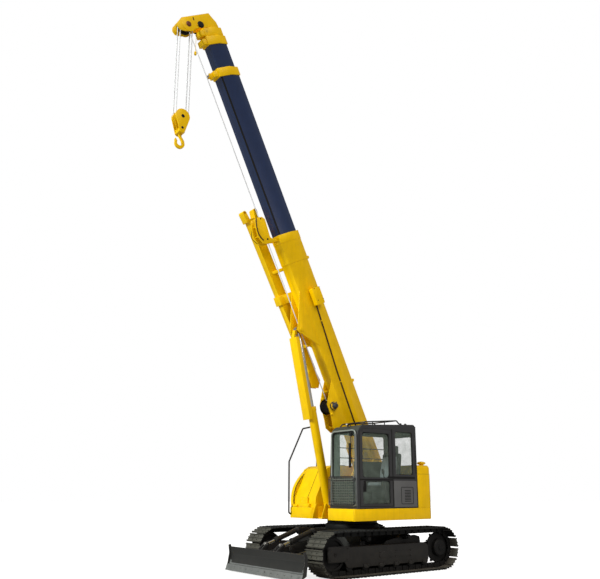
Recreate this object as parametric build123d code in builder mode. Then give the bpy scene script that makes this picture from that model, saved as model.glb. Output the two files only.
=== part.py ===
"""Crawler crane with a five-section telescopic boom, a dozer blade and a side-stowed fly jib.

Millimetres. +X is the machine's front, +Y its left and +Z up. The origin is on the slewing axis at
ground level. Everything on the boom is placed in boom coordinates: s runs along the boom from its
foot pin, t is square to it and points to its top face, and y is measured from the boom's own plane.
"""
from math import atan2, cos, degrees, hypot, pi, radians, sin
import os

from build123d import *

os.makedirs("parts", exist_ok=True)

SIDES = {"left": 1, "right": -1}

# ---------------------------------------------------------------- clearances
SEAT_GAP = 0.3                # pieces that rest on curved seats
PIN_GAP = 0.3                 # pin in its bore, on the radius
SIDE_GAP = 2.0                # eye between its ears, each side
GLASS_GAP = 0.3               # pane in its frame

# ---------------------------------------------------------------- undercarriage
TRACK_LENGTH = 3620.0
TRACK_SPAN = 2490.0           # over both tracks
SHOE_WIDTH = 500.0
TRACK_HEIGHT = 830.0
SHOE_COUNT = 43
GROUSER_HEIGHT = 24.0
SHOE_THICKNESS = 13.0
SHOE_NOTCH = 9.0              # depth of the gap between two shoes
LINK_HEIGHT = 86.0
LINK_THICKNESS = 34.0
LINK_CENTRES = 92.0           # between the two rows of links
SPROCKET_TEETH = 13
SPROCKET_TOOTH = 42.0
SPROCKET_THICKNESS = 44.0
FINAL_DRIVE_RADIUS = 168.0
ROLLER_RADIUS = 70.0
ROLLER_FLANGE = 13.0
ROLLER_SHAFT_RADIUS = 24.0
LOWER_ROLLERS = 6
LOWER_ROLLER_REAR_X = -930.0
LOWER_ROLLER_FRONT_X = 1030.0
CARRIER_RADIUS = 52.0
CARRIER_SPAN = 1060.0         # between the two carrier rollers
TRACK_FRAME_WIDTH = 230.0
TRACK_FRAME_PLATE = 20.0
TRACK_FRAME_BOTTOM = 172.0
TRACK_FRAME_TOP = 530.0

CARBODY_LENGTH = 1320.0
CARBODY_WIDTH = 1080.0
CARBODY_BOTTOM = 345.0
CARBODY_TOP = 800.0
LEG_LENGTH = 360.0            # along X
LEG_SPREAD = 1200.0           # between the legs' centres along X
LEG_BOTTOM = 250.0
LEG_TOP = 500.0
SLEW_RING_RADIUS = 545.0
SLEW_RING_BORE = 420.0
SLEW_RING_HEIGHT = 93.0

# ---------------------------------------------------------------- blade
BLADE_WIDTH = 2490.0
BLADE_HEIGHT = 440.0
BLADE_EDGE_Z = 22.0           # lowest point of the cutting edge, parked
BLADE_FACE_X = 2160.0         # middle of the moldboard
BLADE_PLATE = 22.0
BLADE_CURVE = 60.0            # hollow of the moldboard
CUTTING_EDGE_HEIGHT = 120.0
BLADE_PIVOT = (1250.0, 420.0)
BLADE_ARM_Y = 450.0
BLADE_ARM_WIDTH = 90.0
BLADE_ARM_DEPTH = 150.0
BLADE_PIN_RADIUS = 28.0
EAR_THICKNESS = 26.0
BLADE_CYLINDER_FOOT = (1215.0, 790.0)
BLADE_CYLINDER_EYE = (1960.0, 540.0)
BLADE_CYLINDER_Y = 250.0
BLADE_BARREL_RADIUS = 48.0
BLADE_BARREL_LENGTH = 560.0
BLADE_ROD_RADIUS = 26.0
BLADE_ROD_LENGTH = 560.0
BLADE_EYE_WIDTH = 56.0
BLADE_EYE_RADIUS = 42.0
BLADE_NECK = 78.0             # from the foot pin to the barrel's end

# ---------------------------------------------------------------- revolving frame
DECK_BOTTOM = 980.0
DECK_TOP = 1200.0
DECK_PLATE = 14.0
DECK_SIDE_Y = 1200.0
DECK_FRONT_X = 980.0          # under the cab
CENTRE_FRONT_X = 700.0
RIGHT_FRONT_X = 760.0
TAIL_RADIUS = 1600.0
TAIL_FRONT_X = -1060.0        # front face of the counterweight
TAIL_SKIRT_TOP = 1170.0       # the counterweight's lower part is as wide as the decks
TAIL_STEP = 25.0              # its upper part and the hood stand this far inside
TAIL_CHAMFER = 55.0
COUNTERWEIGHT_TOP = 1850.0
HOOD_TOP = 2035.0
HOOD_SETBACK = 40.0           # from the housings' rear faces to the hood's front edge
HOOD_PLATE = 12.0
HOOD_ROUNDING = 95.0
HINGE_RADIUS = 15.0
HINGE_LENGTH = 110.0
HINGE_Y = 560.0
HOUSING_PLATE = 8.0
COVER_TOP = 2050.0
COVER_ROUNDING = 75.0
COVER_REAR_LEVEL_X = -700.0   # where the cover's top leaves the hood's height
COVER_CREST = (190.0, 2050.0)
COVER_BROW = (370.0, 1985.0)
COVER_TOE = (670.0, 1400.0)
WEB_THICKNESS = 32.0
WEB_GAP = 444.0               # clear width between the two main webs
WEB_TOP_RADIUS = 150.0
TURNTABLE_RADIUS = 510.0

# ---------------------------------------------------------------- cab
CAB_REAR_X = -700.0
CAB_FRONT_X = 905.0
CAB_INNER_Y = 400.0
CAB_OUTER_Y = 1200.0
CAB_TOP = 2840.0
CAB_WALL = 45.0
CAB_FRONT_LEAN = 40.0         # how far the windscreen's top edge leans back
CAB_ROOF_FALL = 80.0          # from the roof's rear edge to its front edge
CAB_BROW_RADIUS = 200.0
CAB_REAR_RADIUS = 75.0
CAB_WAIST_RADIUS = 300.0      # where the windscreen starts to lean
DOOR_FRONT_X = 835.0
DOOR_REAR_X = -30.0
DOOR_TOP = 2700.0
DOOR_SILL_RISE = 50.0         # over the deck
DOOR_GAP = 4.0
DOOR_BROW_RADIUS = 190.0      # the door's top front corner follows the cab's brow
DOOR_CORNER_RADIUS = 70.0
DOOR_STILE = 78.0             # from the doorway's edge to the door's glass
BELT_Z = 1745.0               # middle of the bar between upper and lower glass
BELT_HALF = 30.0
WINDOW_TOP = 2635.0
WINDOW_BOTTOM = 1285.0
WINDOW_CORNER = 40.0
GLASS_THICKNESS = 6.0
SEAT_WIDTH = 480.0
SEAT_HEIGHT = 400.0           # cushion's top over the floor
SEAT_BACK_HEIGHT = 620.0      # over the cushion
CONSOLE_WIDTH = 80.0
CONSOLE_SPREAD = 600.0        # between the two side consoles
RAIL_RADIUS = 17.0            # guard rail
RAIL_BEND = 50.0
ROOF_RAIL_RADIUS = 12.0
ROOF_RAIL_RISE = 62.0         # over the roof's rear edge

# ---------------------------------------------------------------- boom
BOOM_Y = -100.0               # plane of the boom
BOOM_FOOT = (-600.0, 2060.0)
BOOM_ANGLE = 64.3             # as parked, from the horizontal
BOOM_HEIGHT = 540.0           # base section
BOOM_FLAT = 130.0             # half-width of its flat bottom and top
BOOM_SIDE = 195.0             # half-width at its side edge
BOOM_WALL = 9.0
SECTION_STEP = 22.0           # each section is this much smaller all round
BASE_LENGTH = 5300.0
BASE_TAIL = 160.0             # behind the foot pin
SECTION_LENGTH = 4900.0       # sections 2, 3 and 4
COLLAR_LENGTH = 180.0
COLLAR_DEPTH = 26.0           # collar stands this proud of its section
BASE_COLLAR_DEPTH = 14.0
BASE_SLEEVE_LENGTH = 640.0    # doubled plate behind the base section's front end
BASE_SLEEVE_DEPTH = 8.0
LUG_DEPTH = 100.0             # pad adjuster under each collar
LUG_WIDTH = 200.0
COLLAR_GAP = 8.0              # between stacked collars
SECTION_2_OUT = 3505.0        # extension as parked
SECTION_3_OUT = 515.0
FOOT_BOSS_RADIUS = 95.0
FOOT_PIN_RADIUS = 50.0

LUFF_PIN = (3300.0, -560.0)   # s, t of the ram's pin under the boom
LUFF_FOOT = (520.0, 1120.0)   # X, Z
LUFF_BARREL_RADIUS = 90.0
LUFF_BARREL_LENGTH = 2140.0
LUFF_ROD_RADIUS = 55.0
LUFF_ROD_LENGTH = 2080.0
LUFF_EYE_RADIUS = 80.0
LUFF_EYE_WIDTH = 100.0
LUFF_NECK = 112.0             # from the foot pin to the barrel's end
LUFF_PIN_RADIUS = 36.0
BRACKET_PLATE = 22.0
LUFF_BOSS_RADIUS = 100.0      # bracket's rounded end round the ram's pin
BRACKET_INNER = 125.0         # from the boom's plane to the luff bracket's inner face
GUARD_OFFSET = 165.0          # rod guard's plate, in front of the cylinder
GUARD_WIDTH = 230.0
GUARD_FLANGE = 80.0
GUARD_DROP = 150.0            # from the ram's pin to the guard's top edge
GUARD_LENGTH = 1710.0
GUARD_PLATE = 8.0
HANGER_HALF = 40.0

WINCH_AXIS = (1550.0, -480.0)  # s, t
DRUM_RADIUS = 112.0
DRUM_FLANGE_RADIUS = 165.0
DRUM_FLANGE = 12.0
WOUND_ROPE = 24.0             # depth of the wound rope on the drum
WINCH_PLATE = 18.0
MOTOR_RADIUS = 78.0
MOTOR_LENGTH = 54.0
TIE_BAR_RADIUS = 22.0

HEAD_REACH = 100.0            # from section 4's collar to the head sheaves' axis
HEAD_DROP = 578.0             # the sheaves' axis below the boom's centre line
SHEAVE_RADIUS = 148.0
SHEAVE_PITCH_RADIUS = 135.0
SHEAVE_SPACING = 120.0
SHEAVE_WIDTH = 44.0
HEAD_CHEEK = 18.0
HEAD_HALF_WIDTH = 118.0
ROPE_RADIUS = 6.0
FALL_LENGTH = 2111.0          # head sheave axis to block sheave axis
BLOCK_WIDTH = 214.0

JIB_Y = -360.0                # from the boom's plane
JIB_WIDTH = 150.0
JIB_OVERHANG = 550.0          # past the base section's front end
JIB_LENGTH = 3500.0
JIB_PIN_BORE = 25.0           # radius of the fork's pin holes
SENSOR_BOX_SETBACK = 1660.0   # from the base section's front end
SENSOR_BOX_LENGTH = 370.0
SENSOR_BOX_DEPTH = 220.0


# ---------------------------------------------------------------- frames of reference
def boom_point(s, t, y=0.0):
    """Machine coordinates of a place given along, square to and beside the boom."""
    lift = radians(BOOM_ANGLE)
    return (
        BOOM_FOOT[0] + s * cos(lift) - t * sin(lift),
        BOOM_Y + y,
        BOOM_FOOT[1] + s * sin(lift) + t * cos(lift),
    )


BOOM_DIRECTION = (cos(radians(BOOM_ANGLE)), 0, sin(radians(BOOM_ANGLE)))


def boom_cross_plane(s):
    """Sketch plane across the boom: its x is lateral, its y is the boom's t."""
    return Plane(origin=boom_point(s, 0), x_dir=(0, 1, 0), z_dir=BOOM_DIRECTION)


def boom_side_plane(y=0.0):
    """Sketch plane along the boom: its x is s, its y is t, its normal is -Y."""
    return Plane(origin=boom_point(0, 0, y), x_dir=BOOM_DIRECTION, z_dir=(0, -1, 0))


def side_plane(y=0.0):
    """Upright sketch plane seen from the machine's right: its x is X, its y is Z."""
    return Plane(origin=(0, y, 0), x_dir=(1, 0, 0), z_dir=(0, -1, 0))


def plan_plane(z):
    """Level sketch plane at a height."""
    return Plane.XY.offset(z)


def polygon(plane, points):
    """Closed straight-sided face on a plane."""
    with BuildSketch(plane) as face:
        with BuildLine():
            Polyline(*points, close=True)
        make_face()
    return face.sketch


def disc(plane, centre, radius):
    """Round face on a plane."""
    with BuildSketch(plane) as face:
        with Locations(centre):
            Circle(radius)
    return face.sketch


# ================================================================ undercarriage
TRACK_Y = (TRACK_SPAN - SHOE_WIDTH) / 2
WHEEL_Z = TRACK_HEIGHT / 2
WHEEL_X = (TRACK_LENGTH - TRACK_HEIGHT) / 2
PLATE_OUTER = TRACK_HEIGHT / 2 - GROUSER_HEIGHT
PLATE_INNER = PLATE_OUTER - SHOE_THICKNESS
LINK_INNER = PLATE_INNER - LINK_HEIGHT


def loop_point(distance, height):
    """Point beside the track's outer plate line, at a distance round the loop."""
    run = 2 * WHEEL_X
    bend = pi * PLATE_OUTER
    along = distance % (2 * (run + bend))
    radius = PLATE_OUTER + height
    if along < run:
        return (-WHEEL_X + along, WHEEL_Z + radius)
    along -= run
    if along < bend:
        turn = pi / 2 - along / PLATE_OUTER
        return (WHEEL_X + radius * cos(turn), WHEEL_Z + radius * sin(turn))
    along -= bend
    if along < run:
        return (WHEEL_X - along, WHEEL_Z - radius)
    turn = -pi / 2 - (along - run) / PLATE_OUTER
    return (-WHEEL_X + radius * cos(turn), WHEEL_Z + radius * sin(turn))


# one shoe with its three grousers: share of the pitch, height over the plate
SHOE_OUTLINE = (
    (0.02, 0.0),
    (0.08, GROUSER_HEIGHT),
    (0.15, 0.0),
    (0.50, GROUSER_HEIGHT),
    (0.85, 0.0),
    (0.92, GROUSER_HEIGHT),
    (0.98, -SHOE_NOTCH),
)
LOOP_LENGTH = 2 * (2 * WHEEL_X + pi * PLATE_OUTER)
SHOE_PITCH = LOOP_LENGTH / SHOE_COUNT
loop_outline = [
    loop_point((shoe + share) * SHOE_PITCH, height)
    for shoe in range(SHOE_COUNT)
    for share, height in SHOE_OUTLINE
]

for side, sign in SIDES.items():
    centre_y = sign * TRACK_Y
    with BuildPart() as track:
        extrude(polygon(side_plane(centre_y), loop_outline), amount=SHOE_WIDTH / 2, both=True)
        with BuildSketch(side_plane(centre_y)):
            with Locations((0, WHEEL_Z)):
                SlotCenterToCenter(2 * WHEEL_X, 2 * PLATE_INNER)
        extrude(amount=SHOE_WIDTH / 2, both=True, mode=Mode.SUBTRACT)
        for row in (-1, 1):
            with BuildSketch(side_plane(centre_y + row * LINK_CENTRES / 2)):
                with Locations((0, WHEEL_Z)):
                    SlotCenterToCenter(2 * WHEEL_X, 2 * PLATE_INNER + 2)
                    SlotCenterToCenter(2 * WHEEL_X, 2 * LINK_INNER, mode=Mode.SUBTRACT)
            extrude(amount=LINK_THICKNESS / 2, both=True)
    track.part.label = f"track_{side}"
    export_step(track.part, f"parts/track_{side}.step")

# ---- track frames: an inverted channel with the idler's fork in front and the drive's flange behind
ROLLER_Z = WHEEL_Z - LINK_INNER + SEAT_GAP + ROLLER_RADIUS
CARRIER_Z = WHEEL_Z + LINK_INNER - SEAT_GAP - CARRIER_RADIUS
SPROCKET_ROOT = LINK_INNER - 12
TRACK_FRAME_REAR_X = -WHEEL_X + SPROCKET_ROOT + SPROCKET_TOOTH + 40
FORK_FRONT_X = WHEEL_X + 155
FORK_HALF_HEIGHT = 138.0
frame_outline = [
    (TRACK_FRAME_REAR_X, TRACK_FRAME_BOTTOM + 50),
    (TRACK_FRAME_REAR_X + 30, TRACK_FRAME_BOTTOM),
    (LOWER_ROLLER_FRONT_X + 60, TRACK_FRAME_BOTTOM),
    (LOWER_ROLLER_FRONT_X + 130, WHEEL_Z - FORK_HALF_HEIGHT),
    (FORK_FRONT_X - 20, WHEEL_Z - FORK_HALF_HEIGHT),
    (FORK_FRONT_X, WHEEL_Z - FORK_HALF_HEIGHT + 20),
    (FORK_FRONT_X, WHEEL_Z + FORK_HALF_HEIGHT - 20),
    (FORK_FRONT_X - 20, WHEEL_Z + FORK_HALF_HEIGHT),
    (WHEEL_X - 330, WHEEL_Z + FORK_HALF_HEIGHT),
    (WHEEL_X - 360, TRACK_FRAME_TOP),
    (TRACK_FRAME_REAR_X + 60, TRACK_FRAME_TOP),
    (TRACK_FRAME_REAR_X, TRACK_FRAME_TOP - 60),
]
CHANNEL_HALF = TRACK_FRAME_WIDTH / 2 - TRACK_FRAME_PLATE
CHANNEL_TOP = ROLLER_Z + ROLLER_RADIUS + ROLLER_FLANGE + 25
IDLER_ROOM_X = WHEEL_X - LINK_INNER - 60

for side, sign in SIDES.items():
    centre_y = sign * TRACK_Y
    with BuildPart() as track_frame:
        extrude(polygon(side_plane(centre_y), frame_outline), amount=TRACK_FRAME_WIDTH / 2, both=True)
        channel = [
            (TRACK_FRAME_REAR_X - 5, TRACK_FRAME_BOTTOM - 5),
            (IDLER_ROOM_X, TRACK_FRAME_BOTTOM - 5),
            (IDLER_ROOM_X, CHANNEL_TOP),
            (TRACK_FRAME_REAR_X - 5, CHANNEL_TOP),
        ]
        extrude(
            polygon(side_plane(centre_y), channel), amount=CHANNEL_HALF, both=True, mode=Mode.SUBTRACT
        )
        idler_room = [
            (IDLER_ROOM_X, TRACK_FRAME_BOTTOM - 5),
            (FORK_FRONT_X + 60, TRACK_FRAME_BOTTOM - 5),
            (FORK_FRONT_X + 60, WHEEL_Z + FORK_HALF_HEIGHT + 5),
            (IDLER_ROOM_X, WHEEL_Z + FORK_HALF_HEIGHT + 5),
        ]
        extrude(
            polygon(side_plane(centre_y), idler_room), amount=CHANNEL_HALF, both=True, mode=Mode.SUBTRACT
        )
        # the inner plate runs back to the final drive's flange
        inner_y = centre_y - sign * (TRACK_FRAME_WIDTH / 2 - TRACK_FRAME_PLATE / 2)
        flange_arm = [
            (-WHEEL_X, WHEEL_Z - FINAL_DRIVE_RADIUS + 20),
            (TRACK_FRAME_REAR_X + 30, TRACK_FRAME_BOTTOM + 60),
            (TRACK_FRAME_REAR_X + 30, TRACK_FRAME_TOP - 40),
            (-WHEEL_X, WHEEL_Z + FINAL_DRIVE_RADIUS - 20),
        ]
        extrude(polygon(side_plane(inner_y), flange_arm), amount=TRACK_FRAME_PLATE / 2, both=True)
        extrude(
            disc(side_plane(inner_y), (-WHEEL_X, WHEEL_Z), FINAL_DRIVE_RADIUS),
            amount=TRACK_FRAME_PLATE / 2,
            both=True,
        )
        # stools for the carrier rollers
        for place in (-1, 1):
            stool_x = place * CARRIER_SPAN / 2
            stool = [
                (stool_x - 70, TRACK_FRAME_TOP - 2),
                (stool_x + 70, TRACK_FRAME_TOP - 2),
                (stool_x + 34, CARRIER_Z + 26),
                (stool_x - 34, CARRIER_Z + 26),
            ]
            extrude(polygon(side_plane(inner_y), stool), amount=TRACK_FRAME_PLATE / 2, both=True)
    track_frame.part.label = f"track_frame_{side}"
    export_step(track_frame.part, f"parts/track_frame_{side}.step")

# ---- rollers: two treads with flanges on one shaft, held between the channel's plates
ROW_IN = LINK_CENTRES / 2 - LINK_THICKNESS / 2
ROW_OUT = LINK_CENTRES / 2 + LINK_THICKNESS / 2
roller_profile = [
    (-CHANNEL_HALF, 0),
    (-CHANNEL_HALF, ROLLER_RADIUS + ROLLER_FLANGE),
    (-ROW_OUT - 3, ROLLER_RADIUS + ROLLER_FLANGE),
    (-ROW_OUT - 3, ROLLER_RADIUS),
    (ROW_OUT + 3, ROLLER_RADIUS),
    (ROW_OUT + 3, ROLLER_RADIUS + ROLLER_FLANGE),
    (CHANNEL_HALF, ROLLER_RADIUS + ROLLER_FLANGE),
    (CHANNEL_HALF, 0),
]
carrier_profile = [
    (-CHANNEL_HALF, 0),
    (-CHANNEL_HALF, ROLLER_SHAFT_RADIUS),
    (-ROW_OUT - 6, ROLLER_SHAFT_RADIUS),
    (-ROW_OUT - 6, CARRIER_RADIUS),
    (ROW_OUT + 6, CARRIER_RADIUS),
    (ROW_OUT + 6, 0),
]


def lathe_plane(x, y, z, sign):
    """Half-section plane of a roller: its x runs outwards along the axle, its y is the radius."""
    return Plane(origin=(x, y, z), x_dir=(0, sign, 0), z_dir=(sign, 0, 0))


for side, sign in SIDES.items():
    centre_y = sign * TRACK_Y
    with BuildPart() as rollers:
        for index in range(LOWER_ROLLERS):
            share = index / (LOWER_ROLLERS - 1)
            roller_x = LOWER_ROLLER_REAR_X + share * (LOWER_ROLLER_FRONT_X - LOWER_ROLLER_REAR_X)
            section = polygon(lathe_plane(roller_x, centre_y, ROLLER_Z, sign), roller_profile)
            revolve(section, axis=Axis((roller_x, centre_y, ROLLER_Z), (0, 1, 0)))
        for place in (-1, 1):
            carrier_x = place * CARRIER_SPAN / 2
            section = polygon(lathe_plane(carrier_x, centre_y, CARRIER_Z, sign), carrier_profile)
            revolve(section, axis=Axis((carrier_x, centre_y, CARRIER_Z), (0, 1, 0)))
    rollers.part.label = f"rollers_{side}"
    export_step(rollers.part, f"parts/rollers_{side}.step")

# ---- front idlers
IDLER_HUB_RADIUS = 90.0
IDLER_WEB_HALF = 24.0
IDLER_RIM = 42.0              # depth of the rim under its treads
IDLER_RIDGE = 16.0            # between the two rows of links
idler_profile = [
    (-CHANNEL_HALF, 0),
    (-CHANNEL_HALF, IDLER_HUB_RADIUS),
    (-IDLER_WEB_HALF, IDLER_HUB_RADIUS),
    (-IDLER_WEB_HALF, LINK_INNER - IDLER_RIM),
    (-ROW_OUT - 4, LINK_INNER - IDLER_RIM),
    (-ROW_OUT - 4, LINK_INNER - SEAT_GAP),
    (-ROW_IN + 4, LINK_INNER - SEAT_GAP),
    (-ROW_IN + 4, LINK_INNER + IDLER_RIDGE),
    (ROW_IN - 4, LINK_INNER + IDLER_RIDGE),
    (ROW_IN - 4, LINK_INNER - SEAT_GAP),
    (ROW_OUT + 4, LINK_INNER - SEAT_GAP),
    (ROW_OUT + 4, LINK_INNER - IDLER_RIM),
    (IDLER_WEB_HALF, LINK_INNER - IDLER_RIM),
    (IDLER_WEB_HALF, IDLER_HUB_RADIUS),
    (CHANNEL_HALF, IDLER_HUB_RADIUS),
    (CHANNEL_HALF, 0),
]
for side, sign in SIDES.items():
    centre_y = sign * TRACK_Y
    idler_axis = Axis((WHEEL_X, centre_y, WHEEL_Z), (0, 1, 0))
    with BuildPart() as idler:
        revolve(polygon(lathe_plane(WHEEL_X, centre_y, WHEEL_Z, 1), idler_profile), axis=idler_axis)
    idler.part.label = f"idler_{side}"
    export_step(idler.part, f"parts/idler_{side}.step")

# ---- drive sprockets with their final drives
for side, sign in SIDES.items():
    centre_y = sign * TRACK_Y
    drive_axis = Axis((-WHEEL_X, centre_y, WHEEL_Z), (0, 1, 0))
    with BuildPart() as sprocket:
        with BuildSketch(side_plane(centre_y)):
            with Locations((-WHEEL_X, WHEEL_Z)):
                Circle(SPROCKET_ROOT)
            with Locations((-WHEEL_X, WHEEL_Z)):
                with PolarLocations(SPROCKET_ROOT + SPROCKET_TOOTH / 2 - 3, SPROCKET_TEETH):
                    Trapezoid(52, SPROCKET_TOOTH + 6, 68, rotation=-90)
        extrude(amount=SPROCKET_THICKNESS / 2, both=True)
        housing = [
            (-TRACK_FRAME_WIDTH / 2 + TRACK_FRAME_PLATE, 0),
            (-TRACK_FRAME_WIDTH / 2 + TRACK_FRAME_PLATE, FINAL_DRIVE_RADIUS),
            (96, FINAL_DRIVE_RADIUS),
            (118, FINAL_DRIVE_RADIUS - 26),
            (118, 56),
            (134, 56),
            (134, 0),
        ]
        revolve(polygon(lathe_plane(-WHEEL_X, centre_y, WHEEL_Z, sign), housing), axis=drive_axis)
    sprocket.part.label = f"sprocket_{side}"
    export_step(sprocket.part, f"parts/sprocket_{side}.step")

# ---- car body: a box on two cross beams, with the blade's brackets in front
LEG_OUTER_Y = TRACK_Y - TRACK_FRAME_WIDTH / 2
leg_outline = [
    (-LEG_OUTER_Y, LEG_BOTTOM),
    (-LEG_OUTER_Y, LEG_TOP),
    (-CARBODY_WIDTH / 2, CARBODY_TOP - 20),
    (CARBODY_WIDTH / 2, CARBODY_TOP - 20),
    (LEG_OUTER_Y, LEG_TOP),
    (LEG_OUTER_Y, LEG_BOTTOM),
    (CARBODY_WIDTH / 2, CARBODY_BOTTOM + 30),
    (-CARBODY_WIDTH / 2, CARBODY_BOTTOM + 30),
]
CARBODY_FRONT_X = CARBODY_LENGTH / 2


def ear_pair(plane_y, gap, outline):
    """Two upright plates of one outline, either side of a gap."""
    for place in (-1, 1):
        ear_y = plane_y + place * (gap + EAR_THICKNESS) / 2
        extrude(polygon(side_plane(ear_y), outline), amount=EAR_THICKNESS / 2, both=True)


with BuildPart() as carbody:
    with BuildSketch(plan_plane(CARBODY_BOTTOM)):
        Rectangle(CARBODY_LENGTH, CARBODY_WIDTH)
    extrude(amount=CARBODY_TOP - CARBODY_BOTTOM)
    chamfer(carbody.edges().filter_by(Axis.Z), 130)
    for place in (-1, 1):
        leg_plane = Plane(origin=(place * LEG_SPREAD / 2, 0, 0), x_dir=(0, 1, 0), z_dir=(1, 0, 0))
        extrude(polygon(leg_plane, leg_outline), amount=LEG_LENGTH / 2, both=True)
    arm_gap = BLADE_ARM_WIDTH + 2 * SIDE_GAP
    pivot_x, pivot_z = BLADE_PIVOT
    arm_ear = [
        (CARBODY_FRONT_X - 160, CARBODY_BOTTOM),
        (CARBODY_FRONT_X - 160, CARBODY_BOTTOM + 260),
        (pivot_x, pivot_z + 66),
        (pivot_x + 60, pivot_z + 34),
        (pivot_x + 60, pivot_z - 34),
        (pivot_x, pivot_z - 66),
    ]
    foot_x, foot_z = BLADE_CYLINDER_FOOT
    cylinder_ear = [
        (CARBODY_FRONT_X - 160, foot_z - 200),
        (CARBODY_FRONT_X - 160, CARBODY_TOP - 60),
        (CARBODY_FRONT_X - 40, CARBODY_TOP),
        (foot_x, foot_z + 44),
        (foot_x + 44, foot_z + 20),
        (foot_x + 44, foot_z - 30),
        (foot_x - 40, foot_z - 90),
    ]
    for sign in SIDES.values():
        ear_pair(sign * BLADE_ARM_Y, arm_gap, arm_ear)
        ear_pair(sign * BLADE_CYLINDER_Y, BLADE_EYE_WIDTH + 2 * SIDE_GAP, cylinder_ear)
        extrude(
            disc(side_plane(sign * BLADE_ARM_Y), BLADE_PIVOT, BLADE_PIN_RADIUS),
            amount=arm_gap / 2 + EAR_THICKNESS + 12,
            both=True,
        )
        extrude(
            disc(side_plane(sign * BLADE_CYLINDER_Y), BLADE_CYLINDER_FOOT, BLADE_PIN_RADIUS - 8),
            amount=BLADE_EYE_WIDTH / 2 + SIDE_GAP + EAR_THICKNESS + 10,
            both=True,
        )
carbody.part.label = "carbody"
export_step(carbody.part, "parts/carbody.step")

with BuildPart() as slew_ring:
    with BuildSketch(plan_plane(CARBODY_TOP)):
        Circle(SLEW_RING_RADIUS)
        Circle(SLEW_RING_BORE, mode=Mode.SUBTRACT)
    extrude(amount=SLEW_RING_HEIGHT)
    chamfer(slew_ring.edges().group_by(Axis.Z)[-1].sort_by(SortBy.LENGTH)[-1], 18)
slew_ring.part.label = "slew_ring"
export_step(slew_ring.part, "parts/slew_ring.step")

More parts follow.
